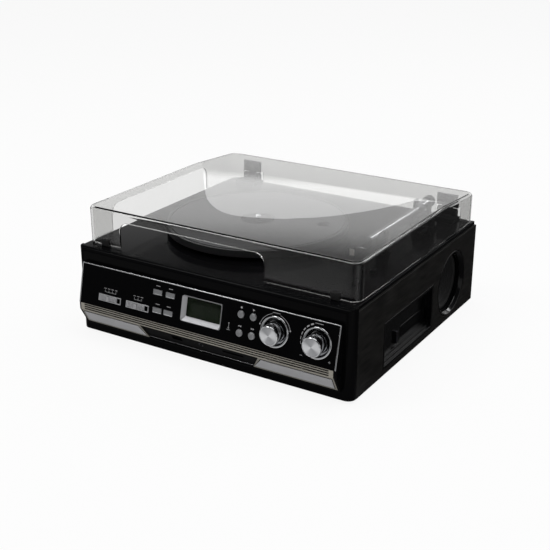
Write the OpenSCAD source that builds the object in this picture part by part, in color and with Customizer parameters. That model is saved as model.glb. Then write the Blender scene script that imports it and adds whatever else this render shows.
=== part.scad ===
// Stereo music centre: a record player under a clear lid, with radio, cassette and loudspeakers.
// Millimetres. +X is to the right, +Y to the rear, +Z up. The origin is under the middle of the
// whole object, on the surface that it stands on.

/* [Cabinet] */
// Width over the two wooden sides
body_w = 350; // [300:5:420]
// Depth from the front face to the rear panel
body_d = 314; // [305:1:380]
// Height of the deck above the table
deck_h = 102.5; // [98:0.5:130]
// Height of the rubber feet
foot_h = 3; // [2:0.5:8]
// Diameter of a rubber foot
foot_d = 26; // [15:1:40]
// Distance of a foot's centre from the sides, and from the front and rear
foot_inset = 38; // [20:1:60]
// Thickness of the wooden sides
side_t = 9; // [6:0.5:15]
// Depth of the moulded front housing
housing_d = 10; // [8:0.5:16]
// Radius of the housing's upright corners
corner_r = 9; // [5:0.5:9.5]
// Radius of the housing's top front edge
top_edge_r = 5; // [2:0.5:7]
// Wall of the plastic mouldings
wall = 2.5; // [2:0.1:3]
// Thickness of the base plate
base_t = 3; // [2:0.5:5]
// Thickness of the rear panel
rear_t = 2.5; // [2:0.5:4]

/* [Deck] */
// Thickness of the deck plate
deck_t = 4; // [3:0.5:6]
// How far the deck stops short of the sides' outer faces
deck_inset = 2.5; // [0:0.5:5]
// Radius of the round well under the platter
well_r = 94; // [92:0.5:98]
// Depth of the well below the deck
well_depth = 9; // [8:0.5:14]

/* [Turntable] */
// Radius of the platter
platter_r = 105.5; // [102:0.5:115]
// Sideways place of the platter's centre
platter_x = -31; // [-40:1:-20]
// Distance of the platter's centre behind the front face
platter_back = 151.5; // [145:0.5:155]
// Height of the slip mat's top above the deck
platter_rise = 12.5; // [11:0.5:16]
// Height of the platter's rim
rim_h = 8; // [6:0.5:9]
// Thickness of the platter's disc
platter_t = 3; // [2:0.5:4]
// Thickness of the slip mat
mat_t = 1.2; // [0.8:0.1:2]
// Radius of the slip mat
mat_r = 101; // [95:0.5:101]
// Outer radius of the ring that the belt drives
ring_r = 74; // [70:0.5:75]
// Wall of that ring
ring_t = 3; // [2:0.5:4]
// Radius of the spindle's pin above the mat
spindle_r = 3.55; // [3.5:0.01:3.6]
// Radius of the spindle inside the platter
bearing_r = 3; // [2.5:0.05:3.2]
// Running clearance of the platter on the spindle, on the radius
spindle_fit = 0.06; // [0.03:0.01:0.1]
// Height of the spindle above the slip mat
spindle_rise = 5; // [4:0.5:7]
// Height of the pin's lower end above the slip mat
pin_rise = 0.5; // [0.3:0.1:1]
// Height of the spindle's tapered tip
tip_h = 1.5; // [1:0.1:2]
// Radius of the record adaptor
adaptor_r = 19; // [18.8:0.1:19.2]
// Radius of the access hole in the platter
access_r = 7; // [5:0.5:9]
// Distance of the access hole from the spindle
access_at = 78; // [76:0.5:84]
// Radius of the motor pulley
pulley_r = 6; // [4:0.5:7]
// Clearance between the belt ring and the pulley
pulley_gap = 2; // [1.5:0.5:4]
// Direction of the motor from the platter's centre, from +X
motor_angle = 16; // [0:1:45]
// Thickness of the drive belt
belt_t = 0.9; // [0.6:0.1:1.2]
// Width of the drive belt
belt_w = 4; // [3:0.5:5]

/* [Tonearm] */
// Sideways place of the tonearm's pivot
arm_x = 126.5; // [122:0.5:130]
// Distance of the pivot behind the front face
arm_back = 262; // [258:1:266]
// Height of the arm tube's axis above the deck
arm_rise = 24.5; // [23:0.5:27]
// Radius of the arm tube
arm_r = 4; // [3:0.5:5]
// Distance from the pivot to the stylus
arm_len = 170; // [160:1:178]
// Radius of the tonearm base
arm_base_r = 17; // [14:0.5:20]
// Distance from the pivot to the arm rest
rest_at = 109; // [95:1:120]

/* [Lid] */
// Height of the lid's flat top above the deck
lid_rise = 43.3; // [42:0.5:60]
// Height lost between the crease and the rear edge
lid_fall = 6.3; // [2:0.5:8]
// Distance of the crease behind the front face
lid_crease = 222; // [200:1:250]
// How far the lid's sides stand inside the cabinet's sides
lid_inset = 3; // [2:0.5:6]
// Distance of the lid's front behind the front face
lid_front = 15; // [12:0.5:20]
// Distance of the lid's rear from the rear of the cabinet
lid_rear = 3; // [2:0.5:5]
// Gap between the lid's lower edge and the deck
lid_gap = 1.5; // [1:0.1:3]
// Wall of the lid
lid_t = 2.5; // [2:0.1:3]
// Radius of the lid's upright corners
lid_corner_r = 12; // [8:0.5:16]
// Radius of the lid's top edges
lid_edge_r = 4; // [3:0.5:6]
// Width of the two cut-outs for an overhanging record
cutout_w = 188; // [170:1:200]
// Height of the cut-outs' top above the deck
cutout_rise = 31.5; // [28:0.5:34]
// Radius of the cut-outs' upper corners
cutout_r = 11; // [6:0.5:14]
// Sideways place of the two hinges
hinge_x = 139; // [130:1:144]
// Height of the hinge axis above the deck
hinge_rise = 9; // [8.5:0.5:12]
// Distance of the hinge axis in front of the lid's rear face
hinge_in = 4; // [3.5:0.5:6]
// Radius of the hinge pins
pin_r = 1.5; // [1:0.1:2]
// Running clearance of the hinge pins, on the radius
pin_fit = 0.08; // [0.05:0.01:0.1]
// Width of a hinge base
hinge_w = 28; // [24:1:32]
// Sideways place of the lid's bumpers
bumper_x = 146; // [135:1:150]

/* [Fascia] */
// Width of the fascia
fascia_w = 328; // [320:1:330]
// Height of the deck above the fascia's top edge
fascia_drop = 15.5; // [12:0.5:20]
// How far the fascia's top edge stands in front of the housing
fascia_stand = 4; // [3:0.5:8]
// Forward lean of the fascia
lean = 13; // [8:0.5:15]
// Length of the fascia down its slope
fascia_len = 46.3; // [44:0.1:50]
// Thickness of the fascia
fascia_t = 2.5; // [2:0.1:3]
// Height of the ridged strip
strip_h = 8.3; // [6:0.1:10]
// Slope of the lower trims, from upright
lower_lean = 29; // [20:1:35]
// Length of the lower trims down their slope
lower_len = 20.4; // [16:0.1:24]
// Thickness of the lower trims
lower_t = 2; // [1.5:0.5:3]
// Reach of the socket bay's upper edge to the left and right of the middle
bay_top = [80, 74]; // [60:1:100]
// The same for the socket bay's lower edge
bay_bottom = [74, 62]; // [50:1:90]
// Width of the bright trim line
trim_w = 1.8; // [1:0.1:3]

/* [Controls] */
// How far the knobs' faces stand in front of the housing
knob_reach = 21.5; // [20:0.5:26]
// Radius of the knobs
knob_r = 10.75; // [9:0.25:12]
// Outer radius of the knob rings
ring_outer_r = 16.5; // [15:0.25:18]
// Inner radius of the knob rings
ring_inner_r = 14; // [12.5:0.25:15]
// Place of the tuning knob: sideways, and down the fascia
tuning_at = [90.7, 23.4]; // [20:0.1:95]
// Place of the volume knob: sideways, and down the fascia
volume_at = [139.8, 23.5]; // [20:0.1:141]
// Width and height of a rectangular button
rect_button = [11.5, 5.7]; // [4:0.1:13]
// Place of the preset button: sideways, and down the fascia
preset_at = [-57.4, 13.5]; // [-60:0.1:40]
// Place of the mode button
mode_at = [-40.6, 13.6]; // [-42:0.1:40]
// Place of the stop button
stop_at = [-56.1, 33.3]; // [-60:0.1:40]
// Place of the folder button
folder_at = [-41.4, 33.2]; // [-42:0.1:40]
// Diameter of a round button
round_button = 8; // [6:0.5:9]
// Place of the record button: sideways, and down the fascia
record_at = [49.3, 14.2]; // [8:0.1:52]
// Place of the play button
play_at = [64.2, 14.1]; // [8:0.1:66]
// Place of the back button
back_at = [49.6, 33.9]; // [8:0.1:52]
// Place of the forward button
forward_at = [64.6, 33.7]; // [8:0.1:66]
// Travel of a push button
press = 0.8; // [0.3:0.1:1]
// How far the buttons stand proud of the fascia
proud = 1; // [0.5:0.1:2]
// Gap around each button and slider
button_gap = 0.3; // [0.2:0.05:0.5]
// Length and height of a switch frame
switch_frame = [31, 7.6]; // [7:0.1:34]
// Travel of a slider
slide = 4.4; // [3:0.2:4.4]
// Place of the function switch: sideways, and down the fascia
function_at = [-121.2, 34.5]; // [-125:0.1:38]
// Place of the band switch
band_at = [-82.8, 34.5]; // [-86:0.1:38]

/* [Display] */
// Left and right edges of the bezel on the fascia
bezel_x = [-25, 26]; // [-28:0.1:28]
// Upper and lower edges of the bezel, down the fascia
bezel_v = [9, 37]; // [7:0.1:38]
// Left and right edges of the visible screen
screen_x = [-22, 23.5]; // [-26:0.1:26]
// Upper and lower edges of the visible screen, down the fascia
screen_v = [11.4, 32.7]; // [9:0.1:35]
// Depth of the screen behind the fascia
screen_depth = 4; // [2:0.5:5]
// Thickness of the display window
window_t = 1.5; // [1:0.1:2]
// Thickness of the display module
lcd_t = 4.5; // [3:0.5:5]

/* [Loudspeakers] */
// Distance of the loudspeakers behind the front face
speaker_back = 245.8; // [235:1:260]
// Height of the loudspeakers' axis above the table
speaker_z = 46.5; // [45:0.5:55]
// Outer radius of the loudspeaker rings
speaker_r = 39; // [30:0.5:39]
// Radial width of a ring
speaker_ring = 5; // [3:0.5:7]
// Depth of a loudspeaker behind the side
speaker_depth = 34; // [25:1:40]

/* [Cassette] */
// Front and rear edge of the cassette frame, behind the front face
tape_y = [69, 193]; // [66:1:196]
// Lower and upper edge of the cassette frame above the table
tape_z = [10, 63]; // [8:0.5:66]
// Step of the frame's three terraces, inwards
tape_step = 2.7; // [2:0.1:3]
// Width of each terrace
terrace_w = 3; // [2:0.1:4]
// Length and height of the cassette slot
slot_size = [66, 16]; // [14:0.5:67]
// Distance of the slot's front end from the frame's front edge
slot_in = 56; // [50:1:57]
// Height of the slot's lower edge above the frame's lower edge
slot_up = 11; // [9:0.5:14]
// Width and height of the cassette key
key_size = [4.5, 14]; // [3:0.5:16]
// Travel of the cassette key
key_travel = 4; // [2:0.5:5]
// Depth of the cassette mechanism
mech_d = 106; // [104:1:112]

/* [Inside] */
// Distance of the front circuit board behind the front face
board_back = 5; // [4:0.5:6]
// Thickness of the circuit boards
board_t = 1.6; // [1:0.1:2]
// Length and depth of the main circuit board
main_board = [150, 120]; // [100:5:150]
// Length, depth and height of the transformer's core
core = [48, 40, 42]; // [30:1:50]

/* [Hidden] */
$fn = 64;
total_d = body_d + knob_reach;
rear_y = total_d / 2;
front_y = rear_y - body_d;
side_x = body_w / 2;
inner_x = side_x - side_t;
side_top = deck_h - deck_t;
base_top = foot_h + base_t;
cabin_y = front_y + housing_d;
gap = 0.2;
big = 400;

platter_y = front_y + platter_back;
platter_top = deck_h + platter_rise;
rim_bottom = platter_top - rim_h;
disc_bottom = platter_top - mat_t - platter_t;
well_floor = deck_h - well_depth;
adaptor_bottom = disc_bottom + 1;
adaptor_gap = 0.5;
hub_r = 8;
hub_bottom = well_floor + 4.2;
belt_z = deck_h - 5;
belt_gap = 0.3;
motor_at = ring_r + pulley_gap + pulley_r;
motor_r = 17;
motor_h = 24;
shaft_r = 1;

arm_y = front_y + arm_back;
arm_z = deck_h + arm_rise;
base_h = 12;
yoke_r = 11;
yoke_floor = deck_h + base_h + gap;
yoke_gap = 6.5;
yoke_t = 3.5;
yoke_top = arm_z + 6;
stylus_y = arm_y - arm_len;
rest_y = arm_y - rest_at;
lever_x = arm_x + 18;
lever_y = arm_y - 28;
lever_z = deck_h + 9;

deck_switch = [6, 8];
speed_at = [144, front_y + 62];
speed_travel = 8;
stop_switch_at = [144, front_y + 100];
stop_travel = 5;

lid_x = side_x - lid_inset;
lid_y0 = front_y + lid_front;
lid_y1 = rear_y - lid_rear;
lid_bottom = deck_h + lid_gap;
lid_top = deck_h + lid_rise;
crease_y = front_y + lid_crease;
hinge_y = lid_y1 - hinge_in;
hinge_z = deck_h + hinge_rise;
cheek_r = 4.5;
knuckle_w = 12;
cheek_w = 5;
leaf_z = hinge_z + cheek_r + 1;
leaf_top = leaf_z + 14;

fascia_y = front_y - fascia_stand;
fascia_z = deck_h - fascia_drop;
lip_y = fascia_y - fascia_len * sin(lean);
strip_top = fascia_z - fascia_len * cos(lean);
lip_z = strip_top - strip_h;
foot_y = lip_y + lower_len * sin(lower_lean);
foot_z = lip_z - lower_len * cos(lower_lean);
fascia_x = fascia_w / 2;
trims_x = fascia_x - wall;
window_x = fascia_x - 6;
board_y = front_y + board_back;
board_x = fascia_x;
board_z = [foot_z + 4, fascia_z - 3];
knob_y = front_y - knob_reach;
slider_w = switch_frame[0] - 2 - 2 * button_gap - slide;
bowl_r = knob_r + 0.5;
bowl_depth = 4.5;
control_front = board_y - 9;
switch_h = 4;
switch_front = board_y - switch_h;
flange = 1;
flange_t = 1.2;
flange_at = fascia_t + 0.3;

stick_x = [-40, -27];
card_x = [26, 52];
headphone_x = -2;
jack_r = 1.8;
bay_t = 2;
bay_lap = 6;
sockets_y = lower_t + bay_t;
sockets_end = sockets_y + 9.5;

tape_y0 = front_y + tape_y[0];
tape_y1 = front_y + tape_y[1];
tape_back = side_x - 3 * tape_step;
slot_y0 = tape_y0 + slot_in;
slot_z0 = tape_z[0] + slot_up;
frame_back = min(tape_back - 2, inner_x - 1.1);
key_y = slot_y0 - 12;
key_z = slot_z0 + slot_size[1] / 2;
throat = 2;
speaker_y = front_y + speaker_back;
flap_pin_z = slot_z0 + slot_size[1] - 1.8;
flap_x = frame_back + 1;

inlet_x = [-130, -106];
inlet_z = [24, 38];

// ---- Shared shapes ----

// A block between two corners, each given as [low, high]
module block(x, y, z) {
    translate([x[0], y[0], z[0]]) cube([x[1] - x[0], y[1] - y[0], z[1] - z[0]]);
}

// A round bar along X, Y or Z from a to b
module rod_x(r, a, b) translate([a, 0, 0]) rotate([0, 90, 0]) cylinder(r = r, h = b - a);
module rod_y(r, a, b) translate([0, a, 0]) rotate([-90, 0, 0]) cylinder(r = r, h = b - a);
module rod_z(r, a, b) translate([0, 0, a]) cylinder(r = r, h = b - a);

// A tube along Z from a to b
module tube_z(r_out, r_in, a, b) {
    difference() {
        rod_z(r_out, a, b);
        rod_z(r_in, a - 1, b + 1);
    }
}

// Outlines in (y, z) drawn along X, and in (x, z) drawn along Y
module along_x(a, b) translate([a, 0, 0]) rotate([90, 0, 90]) linear_extrude(b - a) children();
module along_y(a, b) translate([0, b, 0]) rotate([90, 0, 0]) linear_extrude(b - a) children();

// A flat rectangle with four round corners, between two corners
module round_rect(a, b, r) {
    translate([a[0] + r, a[1]]) square([b[0] - a[0] - 2 * r, b[1] - a[1]]);
    translate([a[0], a[1] + r]) square([b[0] - a[0], b[1] - a[1] - 2 * r]);
    for (x = [a[0] + r, b[0] - r], y = [a[1] + r, b[1] - r]) translate([x, y]) circle(r);
}

module both_sides() {
    children();
    mirror([1, 0, 0]) children();
}

// The fascia's own frame: x sideways, -z down the slope, -y out of the face
module on_fascia() translate([0, fascia_y, fascia_z]) rotate([-lean, 0, 0]) children();

// The lower trims' own frame, the same way round
module on_lower() translate([0, lip_y, lip_z]) rotate([lower_lean, 0, 0]) children();

// Height of a point that lies v down the fascia, and the face's y there
function face_z(v) = fascia_z - v * cos(lean);
function face_y(v) = fascia_y - v * sin(lean);

// ---- Cabinet ----

module base_plate() color("#1a1a1a") {
    post_r = 4;
    post_h = 8;
    difference() {
        block([-inner_x, inner_x], [cabin_y, rear_y - rear_t], [foot_h, base_top]);
        for (x = [-120 : 12 : -60]) block([x, x + 4], [70, 120], [0, base_top + 1]);
    }
    for (x = [-main_board[0] / 2 + 6, main_board[0] / 2 - 6])
        for (y = [-main_board[1] / 2 + 6, main_board[1] / 2 - 6])
            translate([x - 45, y - 10, 0]) rod_z(post_r, base_top, base_top + post_h);
}

module rubber_feet() color("#202020") {
    for (x = [-side_x + foot_inset, side_x - foot_inset])
        for (y = [front_y + foot_inset, rear_y - foot_inset])
            translate([x, y, 0]) cylinder(r1 = foot_d / 2 - 1.5, r2 = foot_d / 2, h = foot_h);
}

module case_screws() color("#3a3a3a") {
    head_r = 3;
    for (x = [-inner_x + 8, 0, inner_x - 8])
        for (z = [base_top + 6, side_top - 6])
            translate([x, 0, z]) {
                rod_y(head_r, rear_y - 1, rear_y);
                rod_y(head_r / 2, rear_y - rear_t, rear_y - 1);
            }
}

module side_board(tape) {
    difference() {
        block([inner_x, side_x], [cabin_y, rear_y], [foot_h, side_top]);
        translate([0, speaker_y, speaker_z]) rod_x(speaker_r + gap, inner_x - 1, side_x + 1);
        if (tape)
            block([inner_x - 1, side_x + 1], [tape_y0 - gap, tape_y1 + gap],
                  [tape_z[0] - gap, tape_z[1] + gap]);
    }
}

module left_side_panel() color("#15130f") mirror([1, 0, 0]) side_board(false);

module right_side_panel() color("#15130f") side_board(true);

module front_housing() color("#0b0b0c") {
    edge_y = front_y + top_edge_r;
    difference() {
        intersection() {
            translate([0, 0, foot_h]) linear_extrude(deck_h - foot_h) {
                translate([-side_x, front_y + corner_r]) square([body_w, housing_d - corner_r]);
                translate([-side_x + corner_r, front_y]) square([body_w - 2 * corner_r, housing_d]);
                for (x = [-side_x + corner_r, side_x - corner_r])
                    translate([x, front_y + corner_r]) circle(corner_r);
            }
            along_x(-side_x, side_x) {
                translate([front_y, foot_h]) square([housing_d, deck_h - foot_h - top_edge_r]);
                translate([edge_y, foot_h]) square([housing_d - top_edge_r, deck_h - foot_h]);
                translate([edge_y, deck_h - top_edge_r]) circle(top_edge_r);
            }
            block([-side_x, side_x], [front_y, cabin_y], [foot_h, deck_h]);
        }
        block([-side_x + corner_r, side_x - corner_r], [front_y + wall, cabin_y + 1],
              [foot_h + wall, deck_h - top_edge_r]);
        block([-window_x, window_x], [front_y - 1, cabin_y + 1], board_z);
    }
    for (x = [-window_x - 3, window_x + 3], z = [board_z[0] + 6, board_z[1] - 6])
        translate([x, 0, z]) rod_y(2.5, front_y + wall, board_y);
}

module rear_panel() color("#161616") difference() {
    block([-inner_x, inner_x], [rear_y - rear_t, rear_y], [foot_h, side_top]);
    for (x = [-inner_x + 8, 0, inner_x - 8], z = [base_top + 6, side_top - 6])
        translate([x, 0, z]) {
            rod_y(3, rear_y - 1, rear_y + 1);
            rod_y(1.5, rear_y - rear_t - 1, rear_y);
        }
    for (x = [-40 : 8 : 64]) block([x, x + 3], [rear_y - rear_t - 1, rear_y + 1], [62, 82]);
    rear_socket_places() rod_y(4.6, rear_y - rear_t - 1, rear_y + 1);
    block(inlet_x, [rear_y - rear_t - 1, rear_y + 1], inlet_z);
}

module rear_socket_places() for (x = [95, 113, 140]) translate([x, 0, 30]) children();

module rear_sockets() color("#202020") {
    rear_socket_places() difference() {
        union() {
            rod_y(4.5, rear_y - rear_t, rear_y);
            rod_y(6.5, rear_y - rear_t - 10, rear_y - rear_t);
        }
        rod_y(1.6, rear_y - 9, rear_y + 1);
        difference() {
            rod_y(3.4, rear_y - 8, rear_y + 1);
            rod_y(2.2, rear_y - 9, rear_y + 2);
        }
    }
    difference() {
        union() {
            block([inlet_x[0] + gap, inlet_x[1] - gap], [rear_y - rear_t, rear_y],
                  [inlet_z[0] + gap, inlet_z[1] - gap]);
            block([inlet_x[0] - 3, inlet_x[1] + 3], [rear_y - rear_t - 16, rear_y - rear_t],
                  [inlet_z[0] - 3, inlet_z[1] + 3]);
        }
        along_y(rear_y - 14, rear_y + 1)
            round_rect([inlet_x[0] + 4, inlet_z[0] + 3], [inlet_x[1] - 4, inlet_z[1] - 3], 3.9);
    }
    for (x = [-4.3, 4.3]) translate([(inlet_x[0] + inlet_x[1]) / 2 + x, 0, 31])
        rod_y(1.2, rear_y - 14, rear_y - 4);
}

module deck_plate() color("#0c0c0d") {
    difference() {
        union() {
            block([-side_x + deck_inset, side_x - deck_inset], [cabin_y, rear_y],
                  [side_top, deck_h]);
            translate([platter_x, platter_y, 0]) rod_z(well_r + wall, well_floor - wall, side_top);
        }
        translate([platter_x, platter_y, 0]) {
            rod_z(well_r, well_floor, deck_h + 1);
            rod_z(3, well_floor - wall - 1, well_floor + 1);
            rotate(motor_angle) translate([motor_at, 0, 0]) rod_z(4, well_floor - wall - 1, deck_h);
        }
        switch_slot(speed_at, speed_travel);
        switch_slot(stop_switch_at, stop_travel);
    }
}

// ---- Deck switches ----

// The slot is long enough for the stem's whole travel to the rear
module switch_slot(at, travel)
    block([at[0] - 1.8, at[0] + 1.8], [at[1] - 2.3, at[1] + 2.3 + travel],
          [side_top - 1, deck_h + 1]);

module deck_switch_knob(at) {
    block([at[0] - deck_switch[0] / 2, at[0] + deck_switch[0] / 2],
          [at[1] - deck_switch[1] / 2, at[1] + deck_switch[1] / 2], [deck_h + gap, deck_h + 4]);
    block([at[0] - 1.5, at[0] + 1.5], [at[1] - 2, at[1] + 2], [side_top - 2, deck_h + gap]);
    block([at[0] - 4, at[0] + 4], [at[1] - 4, at[1] + 4], [side_top - 2, side_top - gap]);
}

module speed_selector() color("#303030") deck_switch_knob(speed_at);

module auto_stop_switch() color("#303030") deck_switch_knob(stop_switch_at);

// ---- Front ----

module fascia_section() {
    back = fascia_t / cos(lean);
    polygon([
        [front_y, fascia_z],
        [fascia_y, fascia_z],
        [lip_y, strip_top],
        [lip_y + back, strip_top],
        [fascia_y + back - fascia_t * tan(lean), fascia_z - fascia_t],
        [front_y, fascia_z - fascia_t]
    ]);
}

// Everything further out than this distance in front of the fascia
module beyond_fascia(out) on_fascia() translate([-big, -big - out, -big])
    cube([2 * big, big, 2 * big]);

// Everything between two depths behind the fascia's face
module fascia_layer(a, b) on_fascia() translate([-big, a, -big]) cube([2 * big, b - a, 2 * big]);

module rect_hole(at, size, more) {
    translate([at[0] - size[0] / 2 - more, face_z(at[1]) - size[1] / 2 - more])
        square([size[0] + 2 * more, size[1] + 2 * more]);
}

module round_hole(at, r) translate([at[0], face_z(at[1])]) circle(r);

module fascia_holes() {
    for (at = [preset_at, mode_at, stop_at, folder_at]) rect_hole(at, rect_button, button_gap);
    for (at = [record_at, play_at, back_at, forward_at])
        round_hole(at, round_button / 2 + button_gap);
    for (at = [tuning_at, volume_at]) round_hole(at, ring_inner_r + 1);
    for (at = [function_at, band_at]) rect_hole(at, switch_frame - [3, 1.6], 0);
}

module front_fascia() color("#08080a") difference() {
    union() {
        along_x(-fascia_x, fascia_x) fascia_section();
        for (x = [-fascia_x, trims_x]) along_x(x, x + wall) polygon([
            [front_y, fascia_z], [fascia_y, fascia_z], [lip_y, strip_top], [lip_y, lip_z],
            [foot_y, foot_z], [front_y, foot_z]
        ]);
        block([-fascia_x, fascia_x], [foot_y, front_y], [foot_z - 1.5, foot_z]);
    }
    along_y(lip_y - 20, front_y - 0.01) fascia_holes();
    on_fascia() block(bezel_x + [-gap, gap], [-5, 20], [-bezel_v[1] - gap, -bezel_v[0] + gap]);
}

module fascia_trim() color("#c9c9c9") on_fascia() {
    block([-fascia_x, fascia_x], [-0.6, 0], [-trim_w, 0]);
    for (x = [-fascia_x, fascia_x - trim_w])
        block([x, x + trim_w], [-0.6, 0], [-fascia_len, -trim_w]);
}

module ridged_strip() color("#a8a398") {
    groove = 0.9;
    difference() {
        block([-trims_x, trims_x], [lip_y - 0.6, lip_y + wall], [lip_z, strip_top]);
        for (i = [0 : 3]) translate([0, lip_y - 0.6, strip_top - 0.9 - i * 1.4])
            rotate([45, 0, 0]) cube([2 * big, groove, groove], center = true);
    }
}

// A sloping plate between two depths, cut off level under the ridged strip
module lower_plate(a, b, x0, x1, x2, x3) difference() {
    on_lower() along_y(a, b) polygon([[x0, 0], [x1, 0], [x2, -lower_len], [x3, -lower_len]]);
    block([-big, big], [lip_y - big, lip_y + big], [lip_z, lip_z + big]);
}

module lower_trims() color("#8e8e90") {
    lower_plate(0, lower_t, -trims_x, -bay_top[0], -bay_bottom[0], -trims_x);
    lower_plate(0, lower_t, bay_top[1], trims_x, trims_x, bay_bottom[1]);
}

module socket_bay() color("#0a0a0b") difference() {
    lower_plate(lower_t, sockets_y, -bay_top[0] - bay_lap, bay_top[1] + bay_lap,
                bay_bottom[1] + bay_lap, -bay_bottom[0] - bay_lap);
    on_lower() {
        block(stick_x, [lower_t - 1, sockets_y + 1], [-13, -7]);
        block(card_x, [lower_t - 1, sockets_y + 1], [-11.5, -8.5]);
        translate([headphone_x, 0, -10]) rod_y(3, lower_t - 1, sockets_y + 1);
    }
}

module front_sockets() color("#b5b5b5") on_lower() {
    difference() {
        block(stick_x + [-0.6, 0.6], [sockets_y, sockets_end], [-13.6, -6.4]);
        block(stick_x, [sockets_y - 1, sockets_end - 0.6], [-13, -7]);
    }
    block(stick_x + [1, -1], [sockets_y, sockets_end - 0.6], [-10, -8]);
    difference() {
        block(card_x + [-1, 1], [sockets_y, sockets_end], [-12.5, -7.5]);
        block(card_x, [sockets_y - 1, sockets_end - 0.6], [-11.5, -8.5]);
    }
    translate([headphone_x, 0, -10]) difference() {
        union() {
            rod_y(2.9, lower_t + 0.2, sockets_y);
            rod_y(4.5, sockets_y, sockets_end);
        }
        rod_y(jack_r, lower_t, sockets_end + 1);
    }
}

module display_bezel() color("#b9bcc0") on_fascia() {
    lip = 0.5;
    difference() {
        block(bezel_x, [-lip, screen_depth], [-bezel_v[1], -bezel_v[0]]);
        hull() {
            block(bezel_x + [1.2, -1.2], [-lip - 1, -lip], [-bezel_v[1] + 1.2, -bezel_v[0] - 1.2]);
            block(screen_x, [screen_depth, screen_depth + 1], [-screen_v[1], -screen_v[0]]);
        }
    }
}

module display_window() color("#20281f") on_fascia()
    block(bezel_x, [screen_depth, screen_depth + window_t], [-bezel_v[1], -bezel_v[0]]);

module lcd_module() color("#3b463a") on_fascia()
    block(bezel_x, [screen_depth + window_t, screen_depth + window_t + lcd_t],
          [-bezel_v[1] + 1, -bezel_v[0] - 1]);

module switch_frame_at(at) {
    frame_out = 0.8;
    on_fascia() difference() {
        block([at[0] - switch_frame[0] / 2, at[0] + switch_frame[0] / 2], [-frame_out, 0],
              [-at[1] - switch_frame[1] / 2, -at[1] + switch_frame[1] / 2]);
        block([at[0] - switch_frame[0] / 2 + 1, at[0] + switch_frame[0] / 2 - 1],
              [-frame_out - 1, 1],
              [-at[1] - switch_frame[1] / 2 + 1, -at[1] + switch_frame[1] / 2 - 1]);
    }
}

module switch_frames() color("#b0b0b0") {
    switch_frame_at(function_at);
    switch_frame_at(band_at);
}

// The grip starts at the left end of its frame
module slider(at) {
    left = at[0] - switch_frame[0] / 2 + 1 + button_gap;
    half = switch_frame[1] / 2 - 1 - button_gap;
    on_fascia() {
        block([left, left + slider_w], [-1, -0.2], [-at[1] - half, -at[1] + half]);
        block([left + slider_w / 2 - 2, left + slider_w / 2 + 2], [-2.2, -1],
              [-at[1] - half, -at[1] + half]);
    }
    middle = left + slider_w / 2;
    intersection() {
        along_y(lip_y - 20, switch_front - 0.3)
            translate([middle - 2, face_z(at[1]) - 1.3]) square([4, 2.6]);
        fascia_layer(-0.2, big / 2);
    }
}

module function_slider() color("#c4c4c4") slider(function_at);

module band_slider() color("#c4c4c4") slider(band_at);

// A cap through the fascia, a flange behind it, and a stem back to its switch
module push_button(at, w, h) {
    back = switch_front - press - 0.3;
    difference() {
        along_y(lip_y - 20, back) rect_hole(at, [w, h], 0);
        beyond_fascia(proud);
        fascia_layer(flange_at, big);
    }
    intersection() {
        along_y(lip_y - 20, back) rect_hole(at, [w, h], flange);
        fascia_layer(flange_at, flange_at + flange_t);
    }
    intersection() {
        along_y(lip_y - 20, back) rect_hole(at, [3, 2.4], 0);
        fascia_layer(flange_at, big);
    }
}

module round_push_button(at) {
    back = switch_front - press - 0.3;
    difference() {
        along_y(lip_y - 20, back) round_hole(at, round_button / 2);
        beyond_fascia(proud);
        fascia_layer(flange_at, big);
    }
    intersection() {
        along_y(lip_y - 20, back) round_hole(at, round_button / 2 + flange);
        fascia_layer(flange_at, flange_at + flange_t);
    }
    intersection() {
        along_y(lip_y - 20, back) round_hole(at, 1.5);
        fascia_layer(flange_at, big);
    }
}

module preset_button() color("#c8c8c8") push_button(preset_at, rect_button[0], rect_button[1]);
module mode_button() color("#c8c8c8") push_button(mode_at, rect_button[0], rect_button[1]);
module stop_button() color("#c8c8c8") push_button(stop_at, rect_button[0], rect_button[1]);
module folder_button() color("#c8c8c8") push_button(folder_at, rect_button[0], rect_button[1]);
module record_button() color("#c8c8c8") round_push_button(record_at);
module play_button() color("#c8c8c8") round_push_button(play_at);
module back_button() color("#c8c8c8") round_push_button(back_at);
module forward_button() color("#c8c8c8") round_push_button(forward_at);

// A flat ring on the fascia whose bowl goes back to a collar around the knob
module knob_ring(at) on_fascia() translate([at[0], 0, -at[1]]) rotate([90, 0, 0])
    rotate_extrude() polygon([
        [ring_inner_r + 0.6, -bowl_depth], [bowl_r, -bowl_depth], [bowl_r, -bowl_depth + 1],
        [ring_inner_r - 1, 0.4], [ring_inner_r, 1], [ring_outer_r - 0.6, 1], [ring_outer_r, 0.4],
        [ring_outer_r, 0], [ring_inner_r + 0.6, 0]
    ]);

module knob_rings() color("#d4d4d6") {
    knob_ring(tuning_at);
    knob_ring(volume_at);
}

// The knob is one piece with the shaft that turns inside its control
module knob(at) {
    skirt = 14;
    translate([at[0], 0, face_z(at[1])]) {
        difference() {
            rod_y(knob_r, knob_y, knob_y + skirt);
            rod_y(knob_r - 2, knob_y + 3, knob_y + skirt + 1);
        }
        rod_y(3, knob_y + 1, board_y - 2);
    }
}

module tuning_knob() color("#dcdcdc") knob(tuning_at);

module volume_knob() color("#dcdcdc") knob(volume_at);

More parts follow.
